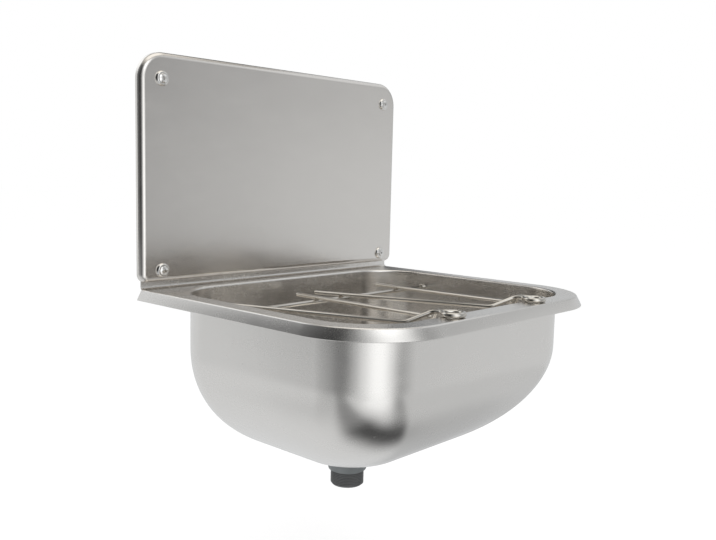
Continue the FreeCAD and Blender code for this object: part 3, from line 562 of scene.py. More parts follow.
def steel(name, base, roughness, grain, grain_depth, sway, sway_scale, grain_turn):
    """Stainless steel: a grain of fine lines or specks, slow unevenness and faint smears."""
    surface = Surface(name)
    lines = surface.noise(surface.mapped(grain, grain_turn), 1.0, 4.0, 0.6)
    slow = surface.noise(surface.place, sway_scale, 2.0, 0.45)
    smear = surface.noise(surface.mapped((14.0, 14.0, 30.0), (0.3, 0.5, 0.2)), 1.0, 5.0, 0.6)
    tone = surface.mixed(surface.ranged(smear, 0.0, 1.0), tinted(base, 0.975), tinted(base, 1.02))
    tone = surface.mixed(surface.ranged(lines, 0.0, 0.35), tone, tinted(base, 0.95))
    worn = surface.ranged(smear, roughness - 0.025, roughness + 0.05)
    fine = surface.ranged(lines, -0.03, 0.03)
    uneven = surface.bumped(slow, 1.0, sway)
    return surface.dress({"Metallic": 1.0, "Base Color": tone, "Roughness": surface.math("ADD", worn, fine),
                          "Normal": surface.bumped(lines, 0.35, grain_depth, uneven)})


def weld_steel(name, base, tint):
    """Steel with the straw and brown colours of heat tint round a weld, darkened further as painted shade of
    the gap where a leg crosses the cross bar.
    """
    surface = Surface(name)
    ripple = surface.noise(surface.place, 900.0, 3.0, 0.6)
    patch = surface.noise(surface.place, 260.0, 2.0, 0.5)
    # The brown tint and the darkened steel are heat tint and painted shade of the gap under each crossing.
    tone = surface.mixed(surface.ranged(patch, 0.0, 1.0), tint, tinted(base, 0.7))
    return surface.dress({"Metallic": 1.0, "Base Color": tone, "Roughness": surface.ranged(ripple, 0.34, 0.5),
                          "Normal": surface.bumped(ripple, 0.5, 0.0003)})


def waste_plastic(name, collar, tail, joint_level):
    """Moulded plastic: a blue-grey collar and a darker tail, with a fine moulded skin."""
    surface = Surface(name)
    soft = 0.0006
    part = surface.ranged(surface.split()["Z"], 0.0, 1.0, joint_level - soft, joint_level + soft)
    skin = surface.noise(surface.place, 1400.0, 3.0, 0.6)
    cloud = surface.ranged(surface.noise(surface.place, 42.0, 3.0, 0.5), 0.0, 1.0)
    pale = surface.mixed(cloud, tinted(collar, 0.92), tinted(collar, 1.08))
    dark = surface.mixed(cloud, tinted(tail, 0.9), tinted(tail, 1.1))
    return surface.dress({"Base Color": surface.mixed(part, dark, pale),
                          "Roughness": surface.ranged(skin, 0.38, 0.5),
                          "Normal": surface.bumped(skin, 0.15, 0.0002)})


def seal_rubber(name, base):
    """Matt rubber with a bloom of dust."""
    surface = Surface(name)
    dust = surface.noise(surface.place, 320.0, 5.0, 0.65)
    bloom = surface.ranged(dust, 0.0, 1.0, 0.45, 0.75)
    return surface.dress({"Base Color": surface.mixed(bloom, tinted(base, 0.85), tinted(base, 1.7)),
                          "Roughness": surface.ranged(dust, 0.62, 0.8),
                          "Normal": surface.bumped(dust, 0.2, 0.0002)})


UNTURNED = (0.0, 0.0, 0.0)
# For each steel: its grain per metre along x, y and z, the grain's depth, the depth and the scale of its slow
# unevenness, and the turn of its grain.
STEELS = {
    "basin_steel": ((900.0, 900.0, 900.0), 0.00001, 0.0006, 7.0, (0.4, 0.7, 0.3)),
    "panel_steel": ((28.0, 900.0, 2400.0), 0.00001, 0.0003, 6.0, UNTURNED),
    "wire_steel": ((700.0, 70.0, 700.0), 0.00002, 0.0001, 60.0, UNTURNED),
    "fixing_steel": ((1500.0, 1500.0, 1500.0), 0.00001, 0.00004, 140.0, UNTURNED),
    "strainer_steel": ((1200.0, 1200.0, 1200.0), 0.00001, 0.0001, 70.0, UNTURNED),
}


def finish(context, name):
    """The material of one finish, made once."""
    title = f"finish_{name}"
    made = bpy.data.materials.get(title)
    if made is not None:
        return made
    look = context.scene.slop_sink_finishes
    if name in STEELS:
        roughness = getattr(look, name.replace("steel", "roughness"))
        return steel(title, getattr(look, name), roughness, *STEELS[name])
    if name == "weld_steel":
        return weld_steel(title, look.wire_steel, look.weld_tint_and_shade)
    if name == "waste_plastic":
        waste = context.scene.slop_sink_waste
        joint_level = waste.body_level - waste.collar_flange - waste.collar_length
        return waste_plastic(title, look.collar_plastic, look.tail_plastic, joint_level)
    if name == "seal_rubber":
        return seal_rubber(title, look.seal_rubber)
    raise RuntimeError(f"there is no finish named {name}")


def rim_flat(sizes):
    """Half width and depth of the rim's flat, inside its turned-down edge."""
    return sizes.rim_half - sizes.skirt_reach, sizes.rim_depth - sizes.skirt_reach


def bowl_plan(sizes):
    """Half width, front, back and corner radius of the bowl's wall, on the inside of the sheet."""
    flat_half, flat_front = rim_flat(sizes)
    bend = sizes.draw_radius + sizes.gauge
    half = flat_half - sizes.side_land - bend
    front = flat_front - sizes.front_land - bend
    back = sizes.bend_radius + sizes.gauge + sizes.rear_land + bend
    return half, front, back, sizes.bowl_corner - sizes.gauge


def dish_loop(bm, sizes, share):
    """One level of the bowl's rounded bottom, on the inside of the sheet."""
    closing = [1.0 - (1.0 - share ** power) ** (1.0 / power)
               for power in (sizes.power_side, sizes.power_front, sizes.power_back)]
    half, front, back, corner = bowl_plan(sizes)
    half -= (half - sizes.seat_radius) * closing[0]
    front -= (front - sizes.drain_offset - sizes.seat_radius) * closing[1]
    back += (sizes.drain_offset - sizes.seat_radius - back) * closing[2]
    corner -= (corner - sizes.seat_radius * SEAT_CORNER) * sum(closing) / 3.0
    level = sizes.rim_level - sizes.wall_depth - (sizes.dish_depth - sizes.gauge) * share
    return plan_loop(bm, half, front, back, corner, level)


def model_bowl(bm, sizes):
    """The bowl from its waste hole up to the rim's flat; returns the loop on the flat."""
    steps = 40
    loops = [dish_loop(bm, sizes, math.sin(QUARTER * (steps - step) / steps)) for step in range(steps + 1)]
    half, front, back, corner = bowl_plan(sizes)
    bend = sizes.draw_radius + sizes.gauge
    loops.append(plan_loop(bm, half, front, back, corner, sizes.rim_level - bend - HOLD))
    turns = 10
    for step in range(turns + 1):
        turn = QUARTER * step / turns
        grow = bend * (1.0 - math.cos(turn))
        level = sizes.rim_level - bend * (1.0 - math.sin(turn))
        loops.append(plan_loop(bm, half + grow, front + grow, back - grow, corner + grow, level))
    bridge(bm, loops)
    floor = sizes.rim_level - sizes.wall_depth - sizes.dish_depth + sizes.gauge
    hole = ring(bm, sizes.waste_hole, (0.0, -sizes.drain_offset, floor))
    flat_sheet(bm, hole + loops[0])
    return loops[-1]


def fold_chain(bm, sizes, grow, level, bend_start):
    """The edge of the rim from the wall round the front to the wall, at one step of the fold."""
    flat_half, flat_front = rim_flat(sizes)
    half = flat_half + grow
    front = flat_front + grow
    corner = sizes.rim_corner - sizes.skirt_reach + grow
    points = [(-half, 0.0, level), (-half, -bend_start, level), (-half, -front, level),
              (half, -front, level), (half, -bend_start, level), (half, 0.0, level)]
    return rounded_chain(bm, points, [0.0, 0.0, corner, corner, 0.0, 0.0], CORNER_STEPS, closed=False)


def model_rim(bm, sizes, inner):
    """The flat of the rim, its tight fold and the flared drop to its lip."""
    level = sizes.rim_level
    bend_start = sizes.bend_radius + sizes.gauge
    flat = fold_chain(bm, sizes, 0.0, level, bend_start)
    outer = [edge for edge in flat if max(vert.co.y for vert in edge.verts) < -NEAR]
    ends = [vert for vert in verts_of(outer) if abs(vert.co.y + bend_start) < NEAR]
    outer.append(bm.edges.new(ends))
    rise = sizes.skirt_height - sizes.fold_radius
    fold = math.atan2(rise, sizes.skirt_reach)
    fold += math.asin(sizes.fold_radius / math.hypot(rise, sizes.skirt_reach))
    chains = [flat]
    turns = 8
    for step in range(1, turns + 1):
        grow = sizes.fold_radius * math.sin(fold * step / turns)
        drop = sizes.fold_radius * (1.0 - math.cos(fold * step / turns))
        chains.append(fold_chain(bm, sizes, grow, level - drop, bend_start))
    grow += HOLD * math.cos(fold)
    drop += HOLD * math.sin(fold)
    chains.append(fold_chain(bm, sizes, grow, level - drop, bend_start))
    chains.append(fold_chain(bm, sizes, sizes.skirt_reach, level - sizes.skirt_height, bend_start))
    bridge(bm, chains)
    flat_sheet(bm, inner + outer)


def model_upstand(bm, sizes, fixing_half, fixing_level):
    """The rear edge turned up against the wall, with its two fixing holes."""
    flat_half, _ = rim_flat(sizes)
    reach = flat_half + sizes.upstand_overlap
    bend_start = -sizes.bend_radius - sizes.gauge
    bend_top = sizes.rim_level + sizes.bend_radius
    start = bm.verts.new((-reach, bend_start, sizes.rim_level))
    known = set(bm.edges)
    bmesh.ops.spin(bm, geom=[start], cent=(0.0, bend_start, bend_top), axis=(1, 0, 0), dvec=(0, 0, 0),
                   angle=QUARTER, steps=9, use_merge=False)
    bend = added(bm.edges, known)
    for run in (sizes.upstand_overlap, flat_half * 2.0, sizes.upstand_overlap):
        bend = draw_edges(bm, bend, (run, 0.0, 0.0))
    crease = [edge for edge in added(bm.edges, known) if all(
        abs(vert.co.z - bend_top) < NEAR and vert.co.y > -sizes.gauge - NEAR for vert in edge.verts)]
    ends = sorted(verts_of(crease), key=lambda vert: vert.co.x)
    top_level = sizes.rim_level + sizes.upstand_top
    tops = [bm.verts.new((side * reach, -sizes.gauge, top_level)) for _, side in SIDES]
    outline = [bm.edges.new((ends[0], tops[0])), bm.edges.new(tops), bm.edges.new((tops[1], ends[-1]))]
    for _, side in SIDES:
        centre = (side * fixing_half, -sizes.gauge, fixing_level)
        outline += ring(bm, sizes.upstand_hole, centre, FACING_FRONT, 24)
    flat_sheet(bm, outline + crease)


class SLOPSINK_OT_basin(bpy.types.Operator):
    """Draws the bowl, rim, turned-down edge and upstand from one sheet"""

    bl_idname = "slopsink.basin"
    bl_label = "Basin"

    def execute(self, context):
        sizes = context.scene.slop_sink_basin
        panel = context.scene.slop_sink_splashback
        bm = bmesh.new()
        inner = model_bowl(bm, sizes)
        model_rim(bm, sizes, inner)
        model_upstand(bm, sizes, panel.fixing_half, -panel.fixing_rise)
        land = (0.0, sizes.skirt_reach + sizes.front_land / 2.0 - sizes.rim_depth, sizes.rim_level)
        give_thickness(bm, sizes.gauge, land, (0.0, 0.0, 1.0))
        lip_level = sizes.rim_level - sizes.skirt_height
        lip = [edge for edge in bm.edges if all(abs(vert.co.z - lip_level) < NEAR for vert in edge.verts)]
        round_edges(bm, lip, sizes.gauge / 2.0)
        show(context, bm, "Basin", "sink", "basin_steel", ["basin"])
        return {"FINISHED"}


def fixing_centre(sizes, side, level):
    """The middle of a fixing on the splashback's face."""
    return side * sizes.fixing_half, -sizes.depth, level * sizes.fixing_rise


def panel_loop(bm, sizes, inset, depth):
    """The splashback's outline at one depth, drawn in from its edge."""
    half = sizes.half - inset
    low = sizes.low + inset
    high = sizes.high - inset
    points = [(half, depth, low), (half, depth, high), (-half, depth, high), (-half, depth, low)]
    top = sizes.top_corner - inset
    bottom = sizes.low_corner - inset
    return rounded_chain(bm, points, [bottom, top, top, bottom], 14)


class SLOPSINK_OT_splashback(bpy.types.Operator):
    """Presses the splashback with its rounded, returned edge"""

    bl_idname = "slopsink.splashback"
    bl_label = "Splashback"

    def execute(self, context):
        sizes = context.scene.slop_sink_splashback
        basin = context.scene.slop_sink_basin
        bm = bmesh.new()
        loops = []
        turns = 10
        for step in range(turns + 1):
            turn = QUARTER * step / turns
            inset = sizes.edge_radius * (1.0 - math.sin(turn))
            depth = sizes.edge_radius * (1.0 - math.cos(turn)) - sizes.depth
            loops.append(panel_loop(bm, sizes, inset, depth))
        for depth in (sizes.edge_radius - sizes.depth + HOLD, -basin.gauge):
            loops.append(panel_loop(bm, sizes, 0.0, depth))
        bridge(bm, loops)
        holes = []
        for _, side in SIDES:
            for _, level in LEVELS:
                holes += ring(bm, sizes.fixing_hole, fixing_centre(sizes, side, level), FACING_FRONT, 24)
        flat_sheet(bm, loops[0] + holes)
        # The return stops where the basin's upstand passes behind the lower edge.
        reach = rim_flat(basin)[0] + basin.upstand_overlap + basin.gauge
        returned = []
        for edge in loops[-1]:
            middle = (edge.verts[0].co + edge.verts[1].co) / 2.0
            if middle.z > sizes.low + basin.gauge * 2.0 or abs(middle.x) > reach:
                returned.append(edge)
        draw_edges(bm, returned, (0.0, basin.gauge, 0.0))
        give_thickness(bm, basin.gauge, (0.0, -sizes.depth, 0.0), (0.0, -1.0, 0.0))
        show(context, bm, "Splashback", "sink", "panel_steel", ["splashback"])
        return {"FINISHED"}


def model_washer(sizes, place):
    """A cup washer: a rounded wall that rises to the seat of the screw's head."""
    hole = sizes.fixing_hole
    outer = sizes.cup_radius
    height = sizes.cup_height
    section = [(hole, 0.0, 0.0), (outer, 0.0, 0.0), (outer, 0.0009, 0.0006),
               (outer - 0.0014, height - 0.0005, 0.0009), (outer - 0.0022, height, 0.0005),
               (sizes.head_radius + PLAY, height, 0.00015), (hole, 0.0004, 0.0)]
    return turned_solid(section, place, 64, closed=True)


def model_fixing_screw(sizes, place):
    """A raised countersunk screw with a cross recess, a plain neck and a thread."""
    rim = sizes.cup_height
    crown = rim + sizes.head_crown
    head = sizes.head_radius
    neck = sizes.neck_radius
    pitch = sizes.screw_pitch
    foot = -(sizes.depth + sizes.screw_reach)
    tip = foot + 0.006
    section = [(0.0, crown, 0.0), (head * 0.45, crown - 0.00012, 0.0012), (head * 0.85, rim + 0.0006, 0.0008),
               (head, rim, 0.00015), (neck, rim - 0.0034, 0.0), (neck, tip, 0.0), (0.0, foot, 0.0)]
    bm = turned_solid(section, Matrix(), 48)
    cut(bm, recess_cutter(crown, (head * 1.04, 0.0011, 0.0038), (0.45, 0.7, 1.0), (0.0, QUARTER)))
    start = -sizes.depth - pitch * 0.3
    thread(bm, neck, sizes.thread_radius, pitch, 0.3, start, (start - tip) / pitch, Matrix(), 24)
    bmesh.ops.transform(bm, matrix=place, verts=bm.verts[:])
    face_outwards(bm)
    return bm


class SLOPSINK_OT_fixings(bpy.types.Operator):
    """Turns the cup washers and the raised countersunk screws in them"""

    bl_idname = "slopsink.fixings"
    bl_label = "Fixings"

    def execute(self, context):
        sizes = context.scene.slop_sink_splashback
        for level_name, level in LEVELS:
            for side_name, side in SIDES:
                corner = f"{level_name}_{side_name}"
                place = Matrix.Translation(fixing_centre(sizes, side, level)) @ FACING_FRONT
                washer = model_washer(sizes, place)
                show(context, washer, f"CupWasher_{corner}", "sink", "fixing_steel", [f"cup_washer_{corner}"])
                # Each screw was driven home to an angle of its own.
                turn = Matrix.Rotation(math.radians(31.0 + 47.0 * side + 25.0 * level), 4, "Z")
                screw = model_fixing_screw(sizes, place @ turn)
                show(context, screw, f"FixingScrew_{corner}", "sink", "fixing_steel",
                     [f"fixing_screw_{corner}"])
        return {"FINISHED"}


def model_bush(sizes, place, side):
    """A bush whose foot keeps the fillet of its weld."""
    foot = sizes.bush_foot * side
    front = (sizes.bush_foot - sizes.bush_length) * side
    fillet = 0.0015 * side
    bore = sizes.bush_bore
    wide = sizes.bush_radius
    narrow = wide - 0.0004
    section = [(bore, foot, 0.0), (wide, foot, 0.0), (wide, foot - fillet, 0.0006),
               (narrow, foot - fillet * 1.6, 0.0005), (narrow, front, 0.0012), (bore, front, 0.0003)]
    return turned_solid(section, place, 48, closed=True)


class SLOPSINK_OT_pivots(bpy.types.Operator):
    """Makes the cross bar and the welded bushes that it turns in"""

    bl_idname = "slopsink.pivots"
    bl_label = "Cross bar and bushes"

    def execute(self, context):
        sizes = context.scene.slop_sink_grate
        place = Matrix.Translation((0.0, -sizes.bar_offset, sizes.bar_level)) @ ALONG_X
        reach = sizes.bar_reach
        radius = sizes.wire_radius
        section = [(0.0, -reach, 0.0), (radius, -reach, 0.0007), (radius, reach, 0.0007), (0.0, reach, 0.0)]
        bar = turned_solid(section, place, 32)
        show(context, bar, "CrossBar", "grate", "wire_steel", ["cross_bar"])
        for side_name, side in SIDES:
            bush = model_bush(sizes, place, side)
            show(context, bush, f"PivotBush_{side_name}", "sink", "wire_steel", [f"pivot_bush_{side_name}"])
        return {"FINISHED"}


def bend_about(bm, section, centre, axis, turn, steps):
    """Draws a wire's end section round a bend."""
    last = bmesh.ops.spin(bm, geom=verts_of(section) + section, cent=centre, axis=axis, dvec=(0, 0, 0),
                          angle=turn, steps=steps, use_merge=False)["geom_last"]
    return only(last, bmesh.types.BMEdge)


def model_wire_half(bm, sizes):
    """Half of a bent wire about its unit's middle, from the cut end of a leg to the front of the eye."""
    slope = sizes.leg_climb / sizes.leg_reach
    tail = Vector((sizes.leg_rear, sizes.leg_tail, sizes.leg_rise - slope * sizes.leg_tail))
    bend = Vector((sizes.leg_front, -sizes.leg_reach, sizes.leg_rise + sizes.leg_climb))
    neck = Vector((sizes.neck_half, -sizes.neck_reach, sizes.neck_rise))
    eye = Vector((0.0, -sizes.eye_reach, sizes.neck_rise))
    flare_x = sizes.neck_half + sizes.eye_flare
    flare_y = math.sqrt((sizes.eye_radius + sizes.eye_flare) ** 2 - flare_x ** 2)
    flare = eye + Vector((sizes.neck_half, flare_y, 0.0))
    leg_turn = (bend - tail).normalized().to_track_quat("Z", "Y").to_matrix().to_4x4()
    section = ring(bm, sizes.wire_radius, tail, leg_turn, 20)
    cap = bmesh.ops.contextual_create(bm, geom=section)["faces"]
    bend_steps = 10
    here = tail
    for corner, after in ((bend, neck), (neck, flare)):
        arriving = (corner - here).normalized()
        leaving = (after - corner).normalized()
        turn = arriving.angle(leaving)
        short = sizes.wire_bend * math.tan(turn / 2.0)
        section = draw_edges(bm, section, corner - arriving * short - here)
        inward = (leaving - arriving).normalized()
        centre = corner + inward * (sizes.wire_bend / math.cos(turn / 2.0))
        axis = arriving.cross(leaving).normalized()
        section = bend_about(bm, section, centre, axis, turn, bend_steps)
        here = corner + leaving * short
    section = draw_edges(bm, section, flare - here)
    opening = math.atan2(flare_y, flare_x)
    flare_centre = eye + Vector((flare_x, flare_y, 0.0))
    section = bend_about(bm, section, flare_centre, (0, 0, 1), opening, bend_steps)
    bend_about(bm, section, eye, (0, 0, -1), opening + QUARTER, 26)
    round_edges(bm, list(cap[0].edges), 0.0006)


class SLOPSINK_OT_grate_wires(bpy.types.Operator):
    """Bends the two grate wires and welds them to the cross bar"""

    bl_idname = "slopsink.grate_wires"
    bl_label = "Grate wires"

    def execute(self, context):
        sizes = context.scene.slop_sink_grate
        for side_name, side in SIDES:
            bm = bmesh.new()
            model_wire_half(bm, sizes)
            bmesh.ops.mirror(bm, geom=bm.verts[:] + bm.edges[:] + bm.faces[:], matrix=Matrix(),
                             merge_dist=1e-5, axis="X")
            bmesh.ops.translate(bm, vec=(side * sizes.unit_offset, -sizes.bar_offset, sizes.bar_level),
                                verts=bm.verts[:])
            close_up(bm)
            show(context, bm, f"GrateWire_{side_name}", "grate", "wire_steel", [f"grate_wire_{side_name}"])
        self.welds(context, sizes)
        return {"FINISHED"}

    def welds(self, context, sizes):
        """A small bead at every crossing of a leg and the cross bar, none quite in line with the next, dark
        with heat tint and painted shade.
        """
        bead = (0.0040, 0.0038, 0.0022)
        behind = sizes.leg_tail / (sizes.leg_tail + sizes.leg_reach)
        spread = sizes.leg_rear - (sizes.leg_rear - sizes.leg_front) * behind
        level = sizes.bar_level + sizes.leg_rise / 2.0
        bm = bmesh.new()
        for _, unit in SIDES:
            for _, leg in SIDES:
                made = bmesh.ops.create_icosphere(bm, subdivisions=3, radius=1.0)["verts"]
                bmesh.ops.scale(bm, vec=bead, verts=made)
                turn = Matrix.Rotation(0.4 * leg + 0.2 * unit, 3, "Z")
                bmesh.ops.rotate(bm, cent=(0, 0, 0), matrix=turn, verts=made)
                centre = (unit * sizes.unit_offset + leg * spread, -sizes.bar_offset, level)
                bmesh.ops.translate(bm, vec=centre, verts=made)
        # The beads' dark finish paints the shade where each leg crosses the bar.
        show(context, bm, "GrateWelds", "grate", "wire_steel", [], look="weld_steel")


def model_strainer(sizes, floor):
    """The strainer's flange and cup, with two rings of holes about its screw."""
    bm = bmesh.new()
    cup = sizes.cup_radius
    edge = sizes.flange_radius
    sheet = sizes.sheet
    section = [(cup - 0.002, floor, 0.0), (cup, floor, 0.0016), (cup, sheet, 0.0014),
               (edge - 0.0006, sheet, 0.0006), (edge - 0.0001, sheet * 0.45, 0.0)]
    turned(bm, section, Matrix(), 64)
    lip = [item for item in bm.edges if item.is_boundary and item.verts[0].co.z < floor + NEAR]
    holes = ring(bm, sizes.clamp_radius + 0.0002, (0.0, 0.0, floor), segments=20)
    for radius, count in ((sizes.inner_ring, sizes.inner_holes), (sizes.outer_ring, sizes.outer_holes)):
        for index in range(count):
            turn = math.tau * index / count
            centre = (radius * math.cos(turn), radius * math.sin(turn), floor)
            holes += ring(bm, sizes.hole_radius, centre, segments=20)
    bmesh.ops.triangle_fill(bm, use_beauty=True, edges=lip + holes)
    give_thickness(bm, sheet * 0.98, (edge - 0.008, 0.0, sheet), (0.0, 0.0, 1.0))
    return bm


def model_strainer_screw(sizes, floor):
    """The slotted screw that clamps the strainer to the body's arm."""
    head = sizes.clamp_head
    shank = sizes.clamp_radius
    foot = floor - sizes.sheet - sizes.clamp_length
    crown = floor + 0.003
    section = [(0.0, crown, 0.0), (head * 0.6, crown, 0.001), (head, floor + 0.0015, 0.0006),
               (head, floor, 0.0002), (shank, floor, 0.0), (shank, foot, 0.0004), (0.0, foot, 0.0)]
    bm = turned_solid(section, Matrix(), 48)
    cut(bm, recess_cutter(crown, (head * 2.4, 0.0013, 0.0028), (1.0, 1.0, 1.0), (math.radians(37.0),)))
    face_outwards(bm)
    return bm


class SLOPSINK_OT_strainer(bpy.types.Operator):
    """Presses the strainer and turns the screw in its middle"""

    bl_idname = "slopsink.strainer"
    bl_label = "Strainer"

    def execute(self, context):
        sizes = context.scene.slop_sink_waste
        place = Matrix.Translation((0.0, -context.scene.slop_sink_basin.drain_offset, sizes.flange_level))
        floor = sizes.sheet - sizes.cup_depth
        for bm, name, node in ((model_strainer(sizes, floor), "Strainer", "strainer"),
                               (model_strainer_screw(sizes, floor), "StrainerScrew", "strainer_screw")):
            bmesh.ops.transform(bm, matrix=place, verts=bm.verts[:])
            show(context, bm, name, "sink", "strainer_steel", [node])
        return {"FINISHED"}


class SLOPSINK_OT_waste_body(bpy.types.Operator):
    """Moulds the tapered collar and its threaded tail"""

    bl_idname = "slopsink.waste_body"
    bl_label = "Waste body"

    def execute(self, context):
        sizes = context.scene.slop_sink_waste
        place = Matrix.Translation((0.0, -context.scene.slop_sink_basin.drain_offset, sizes.body_level))
        bm = bmesh.new()
        self.shell(bm, sizes, place)
        self.arm(bm, sizes, place)
        face_outwards(bm)
        show(context, bm, "WasteBody", "sink", "waste_plastic", ["waste_body"])
        return {"FINISHED"}

    def shell(self, bm, sizes, place):
        """The flange, the collar and the tail with its thread."""
        flange = sizes.flange_radius
        collar_head = -sizes.collar_flange
        collar_foot = collar_head - sizes.collar_length
        tail_foot = collar_foot - sizes.tail_length
        arm_foot = -(sizes.arm_depth + sizes.arm_height)
        root = sizes.tail_root
        section = [(sizes.mouth, 0.0, 0.0003), (flange, 0.0, 0.0008), (flange, collar_head, 0.0008),
                   (sizes.collar_top, collar_head, 0.0012), (sizes.collar_bottom, collar_foot, 0.0014),
                   (root, collar_foot, 0.0003), (root, tail_foot + 0.0012, 0.0),
                   (root - 0.0008, tail_foot, 0.0002), (sizes.tail_bore, tail_foot, 0.0004),
                   (sizes.tail_bore, arm_foot, 0.001), (sizes.mouth, -sizes.arm_depth, 0.0004)]
        turned(bm, section, place, 96, closed=True)
        run_out = 0.0018
        turns = (sizes.tail_length - run_out * 2.0) / sizes.thread_pitch
        thread(bm, root, sizes.tail_radius, sizes.thread_pitch, 0.44, collar_foot - run_out, turns, place, 64)

    def arm(self, bm, sizes, place):
        """The arm across the waterway, with the boss for the strainer's screw."""
        half = sizes.arm_height / 2.0
        middle = place @ Matrix.Translation((0.0, 0.0, -sizes.arm_depth - half))
        reach = sizes.tail_bore + (sizes.mouth - sizes.tail_bore) / 2.0
        arm = bmesh.ops.create_cube(bm, size=1.0)["verts"]
        bmesh.ops.scale(bm, vec=(reach * 2.0, sizes.arm_width, sizes.arm_height), verts=arm)
        bmesh.ops.transform(bm, matrix=middle, verts=arm)
        long_edges = [edge for edge in edges_of(arm)
                      if abs(edge.verts[0].co.x - edge.verts[1].co.x) > reach]
        round_edges(bm, long_edges, 0.0008)
        bore = sizes.clamp_radius + PLAY
        boss = sizes.boss_radius
        section = [(bore, -half, 0.0), (boss, -half, 0.0006), (boss, half, 0.0006), (bore, half, 0.0)]
        turned(bm, section, middle, 48, closed=True)


class SLOPSINK_OT_seals(bpy.types.Operator):
    """Gives the two seal rings their rubber"""

    bl_idname = "slopsink.seals"
    bl_label = "Seals"

    def execute(self, context):
        for node in ("upper_seal", "lower_seal"):
            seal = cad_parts[node]
            seal.data.materials.clear()
            seal.data.materials.append(finish(context, "seal_rubber"))
        return {"FINISHED"}


# Light round the sink by bearing from the front in degrees, positive to the left: below the rim and above it.
LOW_LIGHT = ((-180.0, 0.95), (-66.0, 0.90), (-54.0, 0.90), (-42.0, 0.88), (-30.0, 0.80), (-18.0, 0.62),
             (-8.0, 0.45), (-2.0, 0.65), (6.0, 1.10), (18.0, 1.62), (28.0, 1.60), (42.0, 1.15), (54.0, 0.66),
             (66.0, 0.28), (78.0, 0.30), (90.0, 0.48), (102.0, 0.57), (112.0, 0.62), (120.0, 0.70),
             (126.0, 0.83), (130.0, 0.94), (135.0, 0.92), (142.0, 0.92), (179.0, 0.95))
HIGH_LIGHT = ((-180.0, 1.25), (-156.0, 1.10), (-147.0, 0.30), (-142.0, 0.08), (-127.0, 0.08), (-121.0, 0.40),
              (-114.0, 0.80), (-90.0, 0.80), (-66.0, 0.86), (-54.0, 0.88), (-44.0, 0.82), (-34.0, 0.72),
              (-26.0, 0.63), (-18.0, 0.50), (-8.0, 0.75), (4.0, 1.45), (18.0, 1.95), (30.0, 1.70),
              (42.0, 0.95), (54.0, 0.40), (66.0, 0.08), (80.0, 0.06), (96.0, 0.12), (112.0, 0.19),
              (122.0, 0.22), (128.0, 0.30), (132.0, 0.50), (136.0, 0.85), (140.0, 1.22), (146.0, 1.38),
              (179.0, 1.25))
# Heights between which the light below gives way to the light above.
CHANGE_START = -0.45
CHANGE_END = -0.20
# Patches of light and shade on the floor and above: near left corner, far right corner, softness and level.
FLOOR_LIGHT = (((-2.5, -2.5), (2.5, 2.5), 0.10, 0.97), ((-2.5, -0.25), (-0.55, 0.45), 0.25, 0.74),
               ((0.36, -1.50), (2.5, 0.10), 0.16, 0.81), ((0.36, -0.50), (0.80, 0.10), 0.12, 0.66),
               ((-0.80, -2.5), (-0.14, -0.84), 0.17, 1.50), ((0.02, -2.5), (0.34, -0.55), 0.12, 0.42),
               ((-2.5, -0.62), (-0.20, -0.26), 0.10, 0.33), ((-0.34, -0.62), (0.36, -0.31), 0.12, 0.06))
CEILING_LIGHT = (((-0.90, -1.10), (0.90, 0.70), 0.35, 2.8),)
# Height of the lower card above the floor.
CARD_LIFT = 0.004
WHITE = (1.0, 1.0, 1.0)


def bearing_ramp(surface, bearing, stops, peak, light):
    """A shade of the light for every bearing, eased between stops of degrees and level."""
    ramp = surface.nodes.new("ShaderNodeValToRGB")
    ramp.color_ramp.interpolation = "EASE"
    elements = ramp.color_ramp.elements
    elements.remove(elements[-1])
    for index, (degrees, level) in enumerate(stops):
        position = (degrees + 180.0) / 360.0
        element = elements[0] if index == 0 else elements.new(position)
        element.position = position
        element.color = (*tinted(light, level / peak), 1.0)
    surface.links.new(bearing, ramp.inputs["Fac"])
    return ramp.outputs["Color"]


def card_material(name, low_stops, high_stops, light):
    """Light of the round card by its bearing from the front, positive to the left, and by its height."""
    surface = Surface(name)
    peak = max(level for _, level in low_stops + high_stops)
    place = surface.split()
    left = surface.math("MULTIPLY", place["X"], -1.0)
    front = surface.math("MULTIPLY", place["Y"], -1.0)
    bearing = surface.ranged(surface.math("ARCTAN2", left, front), 0.0, 1.0, -math.pi, math.pi)
    low, high = [bearing_ramp(surface, bearing, stops, peak, light) for stops in (low_stops, high_stops)]
    tone = surface.mixed(surface.eased(place["Z"], 0.0, 1.0, CHANGE_START, CHANGE_END), low, high)
    # The light falls a little above the rim and grows again towards the card's top.
    fall = surface.eased(place["Z"], peak, peak * 0.8, -0.05, 0.45)
    growth = surface.eased(place["Z"], 1.0, 1.5, 0.5, 1.1)
    return surface.glow(tone, surface.math("MULTIPLY", fall, growth))


def patched_material(name, tone, patches):
    """Light of a level card: one tone with soft-edged patches, each laid over those before it."""
    surface = Surface(name)
    place = surface.split()
    level = 1.0
    for low, high, soft, patch_level in patches:
        mask = None
        for index, axis in enumerate("XY"):
            for edge, inward in ((low[index], soft), (high[index], -soft)):
                fade = surface.eased(place[axis], 0.0, 1.0, edge - inward, edge + inward)
                mask = fade if mask is None else surface.math("MULTIPLY", mask, fade)
        level = surface.add("ShaderNodeMix", {"Factor": mask, "A": level, "B": patch_level})["Result"]
    return surface.glow(tone, level)


def stage_card(bm, name, material):
    """A card that only reflections show."""
    card = add_object(bm, name, material)
    card.visible_camera = False
    card.visible_diffuse = False
    card.visible_shadow = False
    card.visible_transmission = False


def level_card(name, half, height, tone, patches):
    """A level card about the middle."""
    bm = bmesh.new()
    bmesh.ops.create_grid(bm, x_segments=1, y_segments=1, size=half,
                          matrix=Matrix.Translation((0.0, 0.0, height)))
    stage_card(bm, name, patched_material(name, tone, patches))


